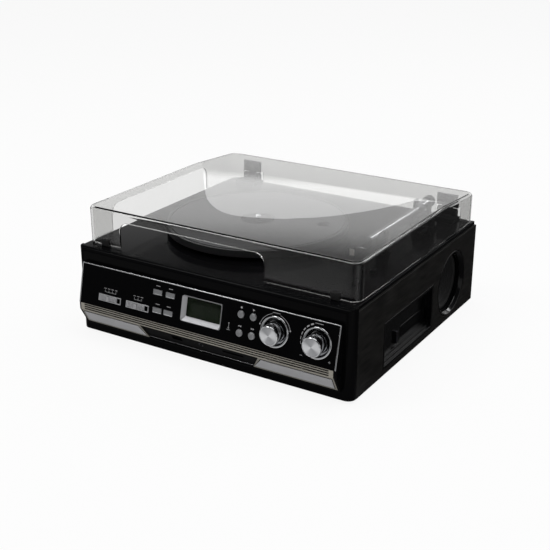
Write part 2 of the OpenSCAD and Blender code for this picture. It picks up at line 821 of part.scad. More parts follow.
module front_circuit_board() color("#1d5a38") {
    block([-board_x, board_x], [board_y, board_y + board_t], board_z);
    for (at = [preset_at, mode_at, stop_at, folder_at, record_at, play_at, back_at, forward_at])
        block([at[0] - 3, at[0] + 3], [switch_front, board_y],
              [face_z(at[1]) - 3, face_z(at[1]) + 3]);
    for (at = [function_at, band_at])
        block([at[0] - 12, at[0] + 12], [switch_front, board_y],
              [face_z(at[1]) - 4, face_z(at[1]) + 4]);
    for (at = [tuning_at, volume_at]) translate([at[0], 0, face_z(at[1])]) difference() {
        union() {
            block([-8, 8], [board_y - 7, board_y], [-9, 9]);
            rod_y(4.5, control_front, board_y - 7);
        }
        rod_y(3.05, control_front - 1, board_y - 1.9);
    }
}

// ---- Inside ----

module main_circuit_board() color("#1d5a38") {
    z = base_top + 8;
    translate([-45, -10, z]) {
        block([-main_board[0] / 2, main_board[0] / 2], [-main_board[1] / 2, main_board[1] / 2],
              [0, board_t]);
        for (x = [-50, -25, 10]) translate([x, 20, 0]) rod_z(6, board_t, board_t + 18);
        block([20, 55], [-40, -30], [board_t, board_t + 22]);
        block([-60, -30], [-45, -20], [board_t, board_t + 5]);
    }
}

module power_transformer() color("#5a5148") {
    at = [-85, rear_y - 60, base_top];
    translate(at) {
        block([-core[0] / 2, core[0] / 2], [-core[1] / 2, core[1] / 2], [0, core[2]]);
        for (s = [-1, 1]) block([-core[0] / 3, core[0] / 3],
            [s > 0 ? core[1] / 2 : -core[1] / 2 - 9, s > 0 ? core[1] / 2 + 9 : -core[1] / 2],
            [6, core[2] - 6]);
    }
}

// ---- Loudspeakers ----

module speaker() translate([inner_x, speaker_y, speaker_z]) rotate([0, 90, 0])
    rotate_extrude() polygon([
        [0, -12], [4, -12.3], [9, -15], [speaker_r - 8, -2], [speaker_r - 6, -0.6],
        [speaker_r - 4, -1.2], [speaker_r - 3, 0], [speaker_r + 1.2, 0], [speaker_r + 1.2, -2.5],
        [speaker_r - 3, -3], [22, -20], [20, -22], [20, -speaker_depth], [0, -speaker_depth]
    ]);

module speakers() color("#101010") both_sides() speaker();

module one_speaker_ring() translate([side_x, speaker_y, speaker_z]) rotate([0, 90, 0])
    rotate_extrude() polygon([
        [speaker_r, -side_t], [speaker_r, -0.8], [speaker_r - 0.8, 0], [speaker_r - 1.8, 0],
        [speaker_r - speaker_ring, -4], [speaker_r - speaker_ring, -side_t]
    ]);

module speaker_rings() color("#08080a") both_sides() one_speaker_ring();

// ---- Cassette ----

module cassette_frame() color("#0d0d0e") difference() {
    block([frame_back, side_x], [tape_y0, tape_y1], tape_z);
    for (i = [0 : 2]) {
        inset = (i + 1) * terrace_w;
        block([side_x - (i + 1) * tape_step, side_x + 1], [tape_y0 + inset, tape_y1 - inset],
              [tape_z[0] + inset, tape_z[1] - inset]);
    }
    block([frame_back - 1, side_x], [slot_y0, slot_y0 + slot_size[0]],
          [slot_z0, slot_z0 + slot_size[1]]);
    block([frame_back - 1, side_x], [key_y - key_size[0] / 2 - gap, key_y + key_size[0] / 2 + gap],
          [key_z - key_size[1] / 2 - gap, key_z + key_size[1] / 2 + gap]);
}

module cassette_flap() color("#070708") {
    block([flap_x - 0.9, flap_x + 0.9], [slot_y0 + 0.3, slot_y0 + slot_size[0] - 0.3],
          [slot_z0 + 0.3, flap_pin_z]);
    translate([flap_x, 0, flap_pin_z])
        rod_y(1.4, slot_y0 + 0.3, slot_y0 + slot_size[0] - 0.3);
}

module cassette_key() color("#cfcfcf") {
    block([frame_back - key_travel - 4, tape_back + 3], [key_y - key_size[0] / 2, key_y + key_size[0] / 2],
          [key_z - key_size[1] / 2, key_z + key_size[1] / 2]);
}

module cassette_mechanism() color("#4a4a4c") {
    x0 = frame_back - mech_d;
    y0 = slot_y0 - 5;
    y1 = slot_y0 + slot_size[0] + 5;
    difference() {
        block([x0, frame_back], [y0, y1], [slot_z0 - 6, slot_z0 + slot_size[1] + 14]);
        block([x0 + throat, frame_back + 1], [slot_y0 - 0.8, slot_y0 + slot_size[0] + 0.8],
              [slot_z0 - 0.8, slot_z0 + slot_size[1] + 0.8]);
    }
    for (y = [y0 + 12, y1 - 12]) translate([x0 + 30, y, 0])
        rod_z(4, base_top, slot_z0 - 6);
}

// ---- Turntable ----

module platter() color("#3a3a3c") translate([platter_x, platter_y, 0]) difference() {
    union() {
        tube_z(platter_r, platter_r - 3, rim_bottom, platter_top);
        rod_z(platter_r - 2, disc_bottom, disc_bottom + platter_t);
        tube_z(ring_r, ring_r - ring_t, deck_h - 6, disc_bottom);
        rod_z(hub_r, hub_bottom, disc_bottom);
    }
    rod_z(bearing_r + spindle_fit, hub_bottom - 1, platter_top + 1);
    rod_z(adaptor_r + adaptor_gap, adaptor_bottom, platter_top);
    rotate(motor_angle) translate([access_at, 0, 0]) rod_z(access_r, disc_bottom - 1, platter_top);
}

module slip_mat() color("#26262a") translate([platter_x, platter_y, 0]) difference() {
    rod_z(mat_r, platter_top - mat_t, platter_top);
    rod_z(adaptor_r + adaptor_gap, platter_top - mat_t - 1, platter_top + 1);
    rotate(motor_angle) translate([access_at, 0, 0])
        rod_z(access_r, platter_top - mat_t - 1, platter_top + 1);
}

module record_adaptor() color("#2e2e32") translate([platter_x, platter_y, 0])
    tube_z(adaptor_r, spindle_r + 0.15, adaptor_bottom, platter_top);

module spindle() color("#d0d0d0") translate([platter_x, platter_y, 0]) {
    rod_z(7, well_floor, well_floor + 2);
    rod_z(5, well_floor + 2, hub_bottom - 0.1);
    rod_z(bearing_r, hub_bottom - 0.1, platter_top + pin_rise);
    rod_z(spindle_r, platter_top + pin_rise, platter_top + spindle_rise - tip_h);
    translate([0, 0, platter_top + spindle_rise - tip_h])
        cylinder(r1 = spindle_r, r2 = spindle_r - 1.4, h = tip_h);
    rod_z(2.9, well_floor - wall, well_floor);
}

module belt_outline(more) hull() {
    circle(ring_r + belt_gap + more);
    translate([motor_at, 0]) circle(pulley_r + belt_gap + more);
}

module drive_belt() color("#151515") translate([platter_x, platter_y, belt_z]) rotate(motor_angle)
    linear_extrude(belt_w) difference() {
        belt_outline(belt_t);
        belt_outline(0);
    }

module at_motor() translate([platter_x, platter_y, 0]) rotate(motor_angle)
    translate([motor_at, 0, 0]) children();

module turntable_motor() color("#8a8a8c") at_motor() {
    top = well_floor - wall;
    difference() {
        union() {
            rod_z(motor_r, top - motor_h, top);
            rod_z(3.8, top, top + 1.5);
        }
        rod_z(shaft_r + 0.06, top - motor_h + 4, top + 2);
    }
}

module motor_pulley() color("#b08d4a") at_motor() {
    top = well_floor - wall;
    rod_z(shaft_r, top - motor_h + 6, deck_h - 6);
    rod_z(pulley_r, belt_z - 0.5, belt_z + belt_w + 0.5);
    rod_z(pulley_r - 2, belt_z - 1.5, belt_z - 0.5);
}

// ---- Tonearm ----

module tonearm_base() color("#141416") {
    translate([arm_x, arm_y, 0]) difference() {
        union() {
            rod_z(arm_base_r, deck_h, deck_h + 5);
            rod_z(arm_base_r - 3, deck_h + 5, deck_h + base_h);
        }
        rod_z(3.06, deck_h + 1, deck_h + base_h + 1);
    }
    difference() {
        block([lever_x - 6, lever_x + 6], [lever_y - 5, lever_y + 9], [deck_h, lever_z + 3]);
        block([lever_x - 2.3, lever_x + 2.3], [lever_y - 6, lever_y + 4.5], [deck_h + 3, lever_z + 4]);
        translate([0, lever_y, lever_z]) rod_x(1.56, lever_x - 5, lever_x + 5);
    }
}

module tonearm_yoke() color("#1c1c1f") translate([arm_x, arm_y, 0]) {
    rod_z(3, deck_h + 2, yoke_floor);
    rod_z(yoke_r, yoke_floor, yoke_floor + 3);
    for (s = [-1, 1]) difference() {
        block(s > 0 ? [yoke_gap, yoke_gap + yoke_t] : [-yoke_gap - yoke_t, -yoke_gap], [-4, 4],
              [yoke_floor + 3, yoke_top]);
        translate([0, 0, arm_z]) rod_x(1.56, -yoke_gap - yoke_t + 1, yoke_gap + yoke_t - 1);
    }
}

module tonearm() color("#d8d8da") translate([arm_x, 0, arm_z]) {
    rod_y(arm_r, stylus_y + 22, arm_y + 6);
    translate([0, arm_y, 0]) rod_x(1.5, -yoke_gap - 2, yoke_gap + 2);
    rod_y(6, arm_y - 8, arm_y + 8);
    rod_y(3, arm_y + 6, arm_y + 13);
    rod_y(7, arm_y + 13, arm_y + 22);
}

module headshell() color("#101012") translate([arm_x, 0, arm_z]) {
    shell_t = 2;
    difference() {
        block([-6.5, 6.5], [stylus_y - 10, stylus_y + 26], [-5.5, 5]);
        block([-4.5, 4.5], [stylus_y - 11, stylus_y + 18], [-6, 5 - shell_t]);
        rod_y(arm_r, stylus_y + 22, stylus_y + 30);
    }
    block([-4, 4], [stylus_y - 4, stylus_y + 12], [-6.5, 5 - shell_t]);
    translate([0, stylus_y, 0]) translate([0, 0, -arm_rise + platter_rise + 1.5])
        cylinder(r1 = 0.4, r2 = 1.6, h = arm_rise - platter_rise - 8);
}

module arm_rest() color("#141416") {
    pad_z = arm_z - arm_r - 0.3;
    x0 = arm_x - 4.5;
    x1 = arm_x + arm_r + 0.4;
    block([x0, x1 + 3], [rest_y - 8, rest_y + 8], [deck_h, deck_h + 3]);
    block([x0, x1 + 3], [rest_y - 4, rest_y + 4], [deck_h + 3, pad_z]);
    block([x1, x1 + 3], [rest_y - 4, rest_y + 4], [pad_z, arm_z + 4]);
}

module lift_lever() color("#1c1c1f") translate([lever_x, lever_y, lever_z]) {
    rod_x(1.5, -4.8, 4.8);
    rod_x(2.8, -2, 2);
    block([-2, 2], [-20, 0], [-1.2, 1.2]);
    translate([0, -20, 0]) rod_x(2.2, -3, 3);
}

// ---- Lid ----

// What a rounded edge takes off a corner at the origin, with the body to its right and below
module edge_cut(r) difference() {
    translate([-1, -r]) square([r + 1, r + 1]);
    translate([r, -r]) circle(r);
}

// The lid's outside, or its inside when it is smaller by its wall
module lid_form(less) {
    x = lid_x - less;
    y0 = lid_y0 + less;
    y1 = lid_y1 - less;
    top = lid_top - less;
    low = lid_bottom - (less > 0 ? 1 : 0);
    rear = top - lid_fall;
    edge = lid_edge_r - less;
    past = lid_fall / (y1 - crease_y);
    difference() {
        translate([0, 0, low]) linear_extrude(top - low)
            round_rect([-x, y0], [x, y1], lid_corner_r - less);
        along_x(-x - 1, x + 1) {
            polygon([[crease_y, top], [y1 + 1, rear - past], [y1 + 1, top + 1], [crease_y, top + 1]]);
            translate([y0, top]) edge_cut(edge);
        }
        along_x(-x - 1, x + 1) translate([y1, rear]) mirror([1, 0]) edge_cut(edge);
        along_y(y0 - 1, y1 + 1) {
            translate([-x, top]) edge_cut(edge);
            translate([x, top]) mirror([1, 0]) edge_cut(edge);
        }
    }
}

// The outline of a cut-out: round upper corners, open below
module cutout_outline() {
    half = cutout_w / 2;
    top = deck_h + cutout_rise;
    translate([-half, lid_bottom - 2]) square([cutout_w, top - cutout_r - lid_bottom + 2]);
    translate([-half + cutout_r, lid_bottom]) square([cutout_w - 2 * cutout_r, top - lid_bottom]);
    for (s = [-1, 1]) translate([s * (half - cutout_r), top - cutout_r]) circle(cutout_r);
}

module dust_lid() color([0.8, 0.85, 0.9, 0.3]) difference() {
    lid_form(0);
    lid_form(lid_t);
    translate([platter_x, 0, 0]) along_y(lid_y0 - 1, lid_y0 + lid_t + 1) cutout_outline();
    translate([0, platter_y, 0]) along_x(-lid_x - 1, -lid_x + lid_t + 1) cutout_outline();
    for (x = [-hinge_x, hinge_x])
        block([x - hinge_w / 2 - 1, x + hinge_w / 2 + 1], [lid_y1 - lid_t - 1, lid_y1 + 1],
              [lid_bottom - 1, leaf_z + 1]);
}

module hinge_base() {
    difference() {
        union() {
            block([-hinge_w / 2, hinge_w / 2], [hinge_y - 20, hinge_y - cheek_r - 1],
                  [deck_h, deck_h + 6]);
            block([-hinge_w / 2, hinge_w / 2], [hinge_y - cheek_r - 1, hinge_y + cheek_r],
                  [deck_h, deck_h + 3.5]);
            for (s = [-1, 1]) translate([s * (knuckle_w / 2 + 0.3 + cheek_w / 2), 0, 0]) {
                block([-cheek_w / 2, cheek_w / 2], [hinge_y - cheek_r, hinge_y + cheek_r],
                      [deck_h, hinge_z]);
                translate([0, hinge_y, hinge_z]) rod_x(cheek_r, -cheek_w / 2, cheek_w / 2);
            }
        }
        block([-knuckle_w / 2 - 0.3, knuckle_w / 2 + 0.3], [hinge_y - cheek_r - 1, hinge_y + 9],
              [deck_h + 3.5, hinge_z + 9]);
    }
    translate([0, hinge_y, hinge_z]) rod_x(pin_r, -knuckle_w / 2 - 0.3 - cheek_w + 0.5,
                                           knuckle_w / 2 + 0.3 + cheek_w - 0.5);
}

module hinge_bases() color("#101012") for (x = [-hinge_x, hinge_x]) translate([x, 0, 0])
    hinge_base();

module hinge_leaf() {
    inner = lid_y1 - lid_t;
    difference() {
        union() {
            translate([0, hinge_y, hinge_z]) rod_x(cheek_r, -knuckle_w / 2, knuckle_w / 2);
            block([-knuckle_w / 2, knuckle_w / 2], [inner - 2.5, inner], [hinge_z, leaf_z + 2]);
            block([-hinge_w / 2 + 1, hinge_w / 2 - 1], [inner - 2.5, inner], [leaf_z, leaf_top]);
        }
        translate([0, hinge_y, hinge_z]) rod_x(pin_r + pin_fit, -knuckle_w, knuckle_w);
    }
}

module hinge_leaves() color("#1a1a1c") for (x = [-hinge_x, hinge_x]) translate([x, 0, 0])
    hinge_leaf();

module lid_bumpers() color("#18181a") for (x = [-bumper_x, bumper_x]) {
    block([x - 5, x + 5], [lid_y0, lid_y0 + lid_t], [deck_h, lid_bottom]);
    block([x - 5, x + 5], [lid_y0 - 1.2, lid_y0], [deck_h, deck_h + 8]);
    block([x - 5, x + 5], [lid_y0 + lid_t, lid_y0 + lid_t + 1.2], [deck_h, deck_h + 8]);
}

// ---- Drawing ----

base_plate();
rubber_feet();
case_screws();
left_side_panel();
right_side_panel();
front_housing();
rear_panel();
rear_sockets();
deck_plate();
front_fascia();
fascia_trim();
ridged_strip();
lower_trims();
socket_bay();
front_sockets();
display_bezel();
display_window();
lcd_module();
switch_frames();
function_slider();
band_slider();
preset_button();
mode_button();
stop_button();
folder_button();
record_button();
play_button();
back_button();
forward_button();
knob_rings();
tuning_knob();
volume_knob();
front_circuit_board();
main_circuit_board();
power_transformer();
speakers();
speaker_rings();
cassette_frame();
cassette_flap();
cassette_key();
cassette_mechanism();
platter();
slip_mat();
record_adaptor();
spindle();
drive_belt();
turntable_motor();
motor_pulley();
tonearm_base();
tonearm_yoke();
tonearm();
headshell();
arm_rest();
lift_lever();
speed_selector();
auto_stop_switch();
dust_lid();
hinge_bases();
hinge_leaves();
lid_bumpers();
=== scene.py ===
"""Looks of a table-top stereo music centre: record player under a clear lid, radio, cassette slot."""

import math

import bmesh
import bpy
from mathutils import Matrix, Vector


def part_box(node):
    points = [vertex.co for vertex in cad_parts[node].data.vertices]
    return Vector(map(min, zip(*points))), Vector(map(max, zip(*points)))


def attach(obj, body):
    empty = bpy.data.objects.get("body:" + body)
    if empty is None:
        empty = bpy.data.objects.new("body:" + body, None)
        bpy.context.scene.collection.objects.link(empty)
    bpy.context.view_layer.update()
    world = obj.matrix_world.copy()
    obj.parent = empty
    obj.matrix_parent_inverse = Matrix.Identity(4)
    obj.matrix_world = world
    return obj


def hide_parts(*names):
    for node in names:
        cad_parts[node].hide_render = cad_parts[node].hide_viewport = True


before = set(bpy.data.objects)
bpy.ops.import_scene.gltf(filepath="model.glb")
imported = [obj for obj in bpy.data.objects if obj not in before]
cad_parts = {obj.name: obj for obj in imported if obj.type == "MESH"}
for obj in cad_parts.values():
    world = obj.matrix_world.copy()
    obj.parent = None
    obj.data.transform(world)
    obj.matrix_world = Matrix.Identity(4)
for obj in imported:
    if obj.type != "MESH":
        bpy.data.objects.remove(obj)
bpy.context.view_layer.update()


# ---- Side boards ----
# Two chipboard panels, wrapped in black PVC foil that is printed and embossed with an oak grain.
# They are screwed to the plastic body from inside. The foil is satin, with paler pores along Y.

MM = 0.001


def colour(code):
    """An sRGB hex colour as the linear values that a shader takes"""
    parts = [int(code[i:i + 2], 16) / 255 for i in (1, 3, 5)]
    linear = [c / 12.92 if c < 0.04045 else ((c + 0.055) / 1.055) ** 2.4 for c in parts]
    return (*linear, 1.0)


def add(tree, kind, inputs={}, **settings):
    """Adds a node. An input is a value, or what it is linked to: an output or a node's first output"""
    node = tree.nodes.new("ShaderNode" + kind)
    for name, value in settings.items():
        setattr(node, name, value)
    for name, value in inputs.items():
        if isinstance(value, bpy.types.Node):
            value = next(output for output in value.outputs if output.enabled)
        if isinstance(value, bpy.types.NodeSocket):
            tree.links.new(value, node.inputs[name])
        else:
            node.inputs[name].default_value = value
    return node


def material_tree(name):
    """A new material and its empty node tree"""
    material = bpy.data.materials.new(name)
    material.use_nodes = True
    material.node_tree.nodes.clear()
    return material, material.node_tree


def finish_node(node, material, edge=0.0, segments=2):
    """Gives a CAD node its real finish, and rounds its sharp edges by edge millimetres"""
    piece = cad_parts[node]
    for place in piece.material_slots:
        place.material = material
    if not edge:
        return piece
    piece.modifiers.new("joined", "WELD").merge_threshold = 0.002 * MM
    flat = piece.modifiers.new("whole faces", "DECIMATE")
    flat.decimate_type = "DISSOLVE"
    flat.angle_limit = math.radians(0.4)
    rounded = piece.modifiers.new("round edges", "BEVEL")
    rounded.width = edge * MM
    rounded.segments = segments
    rounded.limit_method = "ANGLE"
    rounded.angle_limit = math.radians(38)
    rounded.use_clamp_overlap = False
    piece.modifiers.new("even shading", "WEIGHTED_NORMAL")
    return piece


black_foil, tree = material_tree("black oak foil")
# Real pores are 0.2 mm wide: these are coarser, so that they show
GRAIN_ACROSS, GRAIN_ALONG = 0.7 * MM, 26 * MM
FIGURE_ACROSS, FIGURE_ALONG = 16.6667 * MM, 200 * MM
coords = add(tree, "TexCoord").outputs["Object"]
stretched = add(tree, "Mapping", {
    "Vector": coords, "Scale": (1 / GRAIN_ACROSS, 1 / GRAIN_ALONG, 1 / GRAIN_ACROSS)})
grain = add(tree, "TexNoise", {"Vector": stretched, "Scale": 1.0, "Detail": 5.0, "Distortion": 0.6})
bands = add(tree, "Mapping", {
    "Vector": coords, "Scale": (1 / FIGURE_ACROSS, 1 / FIGURE_ALONG, 1 / FIGURE_ACROSS)})
figure = add(tree, "TexNoise", {"Vector": bands, "Scale": 1.0, "Detail": 2.0})
pores = add(tree, "MapRange", {
    "Value": grain, "From Min": 0.42, "From Max": 0.6, "To Min": 0.0, "To Max": 1.0})
tone = add(tree, "Mix", {
    "Factor": figure, "A": colour("#070707"), "B": colour("#100f0f")}, data_type="RGBA")
foil_colour = add(tree, "Mix", {"Factor": pores, "A": tone, "B": colour("#252423")}, data_type="RGBA")
sheen = add(tree, "MapRange", {"Value": grain, "To Min": 0.32, "To Max": 0.6})
emboss = add(tree, "Bump", {"Height": grain, "Strength": 0.35, "Distance": 0.12 * MM})
skin = add(tree, "BsdfPrincipled", {
    "Base Color": foil_colour, "Roughness": sheen, "Specular IOR Level": 0.05, "Normal": emboss})
add(tree, "OutputMaterial", {"Surface": skin})

for node in ("left_side_panel", "right_side_panel"):
    finish_node(node, black_foil, edge=0.5)


# ---- Body mouldings ----
# Base, rear panel, socket bay and cassette mechanism: black ABS from a spark-eroded mould, whose
# fine even texture takes the shine off. They snap together and are screwed from behind.

def grained(name, grain, detail, tones, shine, relief=None, clouds=None, more={}):
    """A finish whose tones, roughness and relief follow one noise. Its grain is one size in
    millimetres, or three along X, Y and Z, and its relief is a strength and a height. Clouds are
    the size and detail of a broader noise for the tones, and more are settings of the shader"""
    material, tree = material_tree(name)
    coords = add(tree, "TexCoord").outputs["Object"]
    if isinstance(grain, tuple):
        drawn = add(tree, "Mapping", {"Vector": coords, "Scale": tuple(1 / (size * MM) for size in grain)})
        noise = add(tree, "TexNoise", {"Vector": drawn, "Scale": 1.0, "Detail": detail})
    else:
        noise = add(tree, "TexNoise", {"Vector": coords, "Scale": 1 / (grain * MM), "Detail": detail})
    look = {"Base Color": colour(tones[0]), "Roughness": shine[0]}
    if len(tones) == 2:
        shade = noise
        if clouds:
            shade = add(tree, "TexNoise", {
                "Vector": coords, "Scale": 1 / (clouds[0] * MM), "Detail": clouds[1]})
        look["Base Color"] = add(tree, "Mix", {
            "Factor": shade, "A": colour(tones[0]), "B": colour(tones[1])}, data_type="RGBA")
    if len(shine) == 2:
        look["Roughness"] = add(tree, "MapRange", {
            "Value": noise, "To Min": shine[0], "To Max": shine[1]})
    if relief:
        look["Normal"] = add(tree, "Bump", {
            "Height": noise, "Strength": relief[0], "Distance": relief[1] * MM})
    skin = add(tree, "BsdfPrincipled", {**look, **more})
    add(tree, "OutputMaterial", {"Surface": skin})
    return material


SPARK_GRAIN, MELT_FLOW = 0.7, 71.43
satin_abs = grained("textured black ABS", SPARK_GRAIN, 3.0, ("#09090a", "#101011"), (0.38, 0.58),
                    relief=(0.3, 0.05), clouds=(MELT_FLOW, 2.0), more={"Specular IOR Level": 0.03})
for node, edge in (("base_plate", 0.4), ("rear_panel", 0.35), ("socket_bay", 0), ("cassette_mechanism", 0)):
    finish_node(node, satin_abs, edge)


# ---- Gloss mouldings ----
# Front housing, fascia, deck, cassette frame and flap, and the rings on the loudspeakers: black
# ABS moulded against polished steel. The eye gets a deep black, long clean highlights on the edges
# and a few hair-fine wipe marks.

WIPE_WIDE, WIPE_LONG, WIPE_DEEP = 0.5 * MM, 50 * MM, 16.667 * MM
SINK_MARK = 111.11 * MM


def polished_abs(name, shine):
    """High-gloss black ABS. The shine is low on large faces, which the photo shows deep black"""
    material, tree = material_tree(name)
    coords = add(tree, "TexCoord").outputs["Object"]
    wiped = add(tree, "Mapping", {
        "Vector": coords, "Rotation": (0.0, 0.0, 0.4),
        "Scale": (1 / WIPE_WIDE, 1 / WIPE_LONG, 1 / WIPE_DEEP)})
    marks = add(tree, "TexNoise", {"Vector": wiped, "Scale": 1.0, "Detail": 3.0})
    clouds = add(tree, "TexNoise", {"Vector": coords, "Scale": 1 / SINK_MARK, "Detail": 3.0})
    gloss_colour = add(tree, "Mix", {
        "Factor": clouds, "A": colour("#050506"), "B": colour("#09090a")}, data_type="RGBA")
    polish = add(tree, "MapRange", {
        "Value": marks, "From Min": 0.45, "From Max": 0.8, "To Min": 0.1, "To Max": 0.2})
    shrink = add(tree, "Bump", {"Height": clouds, "Strength": 0.08, "Distance": 0.2 * MM})
    skin = add(tree, "BsdfPrincipled", {
        "Base Color": gloss_colour, "Roughness": polish, "Specular IOR Level": shine,
        "Normal": shrink})
    add(tree, "OutputMaterial", {"Surface": skin})
    return material


gloss_abs = polished_abs("polished black ABS", 0.03)
terrace_abs = polished_abs("polished black ABS terraces", 0.1)
ring_abs = polished_abs("polished black ABS rings", 0.35)
for node, edge in (("front_housing", 0.5), ("deck_plate", 0.5), ("front_fascia", 0.3),
                   ("cassette_flap", 0.2)):
    finish_node(node, gloss_abs, edge)
finish_node("cassette_frame", terrace_abs, edge=0.5, segments=3)
finish_node("speaker_rings", ring_abs, edge=0.7, segments=3)


# ---- Feet and screws ----
# Four moulded rubber feet, each with a dished tread and a screw up its middle, and six
# cross-head screws that hold the rear panel. They and the cassette key are black-zinced steel.

RUBBER_DUST, ZINC_BLOOM = 1.5, 1.43
rubber = grained("moulded rubber", RUBBER_DUST, 4.0, ("#121212", "#242424"), (0.75,),
                 relief=(0.25, 0.08), more={"Specular IOR Level": 0.3})
black_zinc = grained("black-zinced steel", ZINC_BLOOM, 3.0, ("#3b3b40",), (0.3, 0.5), more={"Metallic": 1.0})
finish_node("cassette_key", black_zinc, edge=0.5)


def turned(shape, profile, place, steps=64):
    """Adds a turned form: (radius, height) points in millimetres about the axis of place"""
    rings = []
    for radius, height in profile:
        count = steps if radius > 0 else 1
        rings.append([
            shape.verts.new(place @ (Vector((
                radius * math.cos(2 * math.pi * i / steps),
                radius * math.sin(2 * math.pi * i / steps), height)) * MM))
            for i in range(count)])
    for low, high in zip(rings, rings[1:]):
        if len(low) == len(high) == 1:
            continue
        for i in range(steps):
            j = (i + 1) % steps
            quad = [low[i % len(low)], low[j % len(low)], high[j % len(high)], high[i % len(high)]]
            shape.faces.new(list(dict.fromkeys(quad)))


def turned_closed(shape, profile, place, steps=64):
    """A turned ring whose profile closes on itself"""
    turned(shape, [*profile, profile[0]], place, steps)
    bmesh.ops.remove_doubles(shape, verts=shape.verts, dist=0.001 * MM)


def add_piece(name, shape, material, body, slot, *nodes, sharp=35):
    """Makes a bmesh into a piece that rides on a body, and may stand for CAD nodes"""
    bmesh.ops.recalc_face_normals(shape, faces=shape.faces)
    mesh = bpy.data.meshes.new(name)
    shape.to_mesh(mesh)
    shape.free()
    mesh.shade_smooth()
    mesh.set_sharp_from_angle(angle=math.radians(sharp))
    mesh.materials.append(material)
    piece = bpy.data.objects.new(name, mesh)
    bpy.context.collection.objects.link(piece)
    piece.modifiers.new("even shading", "WEIGHTED_NORMAL").keep_sharp = True
    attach(piece, body)
    if nodes:
        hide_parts(*nodes)
    return piece


def at(x, y, z, turn=0.0, about="X"):
    """A place in millimetres, turned about one axis by degrees"""
    return Matrix.Translation(Vector((x, y, z)) * MM) @ Matrix.Rotation(math.radians(turn), 4, about)


def polar(radius, degrees, rise=None):
    """A point of a circle, or of an ellipse with another rise"""
    angle = math.radians(degrees)
    return radius * math.cos(angle), (radius if rise is None else rise) * math.sin(angle)


low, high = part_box("rubber_feet")
FOOT_R, FOOT_H = 13.0, high.z / MM
treads, shanks = bmesh.new(), bmesh.new()
for x in (low.x / MM + FOOT_R, high.x / MM - FOOT_R):
    for y in (low.y / MM + FOOT_R, high.y / MM - FOOT_R):
        turned_closed(treads, [
            (4.2, 1.4), (6, 0.7), (7.5, 0), (10.4, 0), (11.4, 0.4), (12.4, 2.4), (13, FOOT_H),
            (4.2, FOOT_H)], at(x, y, 0), 48)
        turned(shanks, [(0, 0.9), (2.4, 1.1), (3.4, 1.5), (3.8, 2), (3.8, FOOT_H), (0, FOOT_H)],
               at(x, y, 0), 32)
add_piece("feet", treads, rubber, "cabinet", "rubber", "rubber_feet")
add_piece("foot_screws", shanks, black_zinc, "cabinet", "steel")

low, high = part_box("case_screws")
HEAD_R = 3.0
CROSS_LONG, CROSS_WIDE, CROSS_DEEP, CROSS_TURNS = 3.2, 0.75, 1.9, (20, 110)
shape = bmesh.new()
slots = [bmesh.new() for turn in CROSS_TURNS]
for x in (low.x / MM + HEAD_R, 0, high.x / MM - HEAD_R):
    for z in (low.z / MM + HEAD_R, high.z / MM - HEAD_R):
        place = at(x, high.y / MM, z, -90)
        turned(shape, [
            (0, -2.5), (1.5, -2.5), (1.5, -1.1), (3, -0.9), (3, -0.3), (2.6, -0.05), (1.4, 0.35),
            (0, 0.45)], place, 32)
        for turn, slot in zip(CROSS_TURNS, slots):
            bmesh.ops.create_cube(slot, size=MM, matrix=place @ at(0, 0, 0.3, turn, "Z")
                                  @ Matrix.Diagonal((CROSS_LONG, CROSS_WIDE, CROSS_DEEP, 1)))
screws = add_piece("rear_screws", shape, black_zinc, "cabinet", "steel", "case_screws")


def cut_away(piece, shape):
    """Cuts a closed bmesh out of a piece for good"""
    bmesh.ops.recalc_face_normals(shape, faces=shape.faces)
    mesh = bpy.data.meshes.new("cutter")
    shape.to_mesh(mesh)
    shape.free()
    cutter = bpy.data.objects.new("cutter", mesh)
    bpy.context.collection.objects.link(cutter)
    cut = piece.modifiers.new("cut", "BOOLEAN")
    cut.object = cutter
    cut.solver = "EXACT"
    bpy.context.view_layer.update()
    result = bpy.data.meshes.new_from_object(
        piece.evaluated_get(bpy.context.evaluated_depsgraph_get()))
    piece.modifiers.clear()
    piece.data = result
    bpy.data.objects.remove(cutter)


# The two slots of a cross cross each other, so each is cut by itself
for slot in slots:
    cut_away(screws, slot)


# ---- Bright trim ----
# Chromed ABS: the line round the fascia, the bowls that the knobs stand in and the knobs' sides.
# Electroplated over a polished moulding, so it is a near mirror with a slight waviness.

PLATING_WAVE = 6.25
chrome = grained("chromed ABS", PLATING_WAVE, 2.0, ("#d3d4d6",), (0.06, 0.14), relief=(0.06, 0.1),
                 more={"Metallic": 1.0})

# Places on the sloping faces: x sideways, y up the slope and z out of the face
FASCIA_Y, FASCIA_Z, LEAN = -150.25, 87.0, 13.0
face = at(0, FASCIA_Y, FASCIA_Z, 90 - LEAN)
TUNING_X, TUNING_V = 90.7, 23.4
VOLUME_X, VOLUME_V = 139.8, 23.5

RING_R, BOWL_TOP_R, BOWL_FLOOR_R, BOWL_DEEP = 16.5, 14.2, 11.25, 4.5
bead = [(15.4 + u, 0.15 + w) for u, w in (polar(1.05, a, 0.85) for a in range(0, 181, 15))]
bowl = [(BOWL_FLOOR_R + u, w) for u, w in
        (polar(BOWL_TOP_R - BOWL_FLOOR_R, a, -BOWL_DEEP) for a in range(0, 91, 6))]
shape = bmesh.new()
for x, v in ((TUNING_X, TUNING_V), (VOLUME_X, VOLUME_V)):
    turned_closed(shape, [(RING_R, 0), *bead, *bowl, (14.7, -BOWL_DEEP), (14.7, 0)],
                  face @ at(x, -v, 0), 96)
add_piece("knob_bowls", shape, chrome, "cabinet", "bright_metal", "knob_rings")


def corners(x0, y0, x1, y1):
    """The outline of a rectangle, in millimetres"""
    return [(x0, y0), (x1, y0), (x1, y1), (x0, y1)]


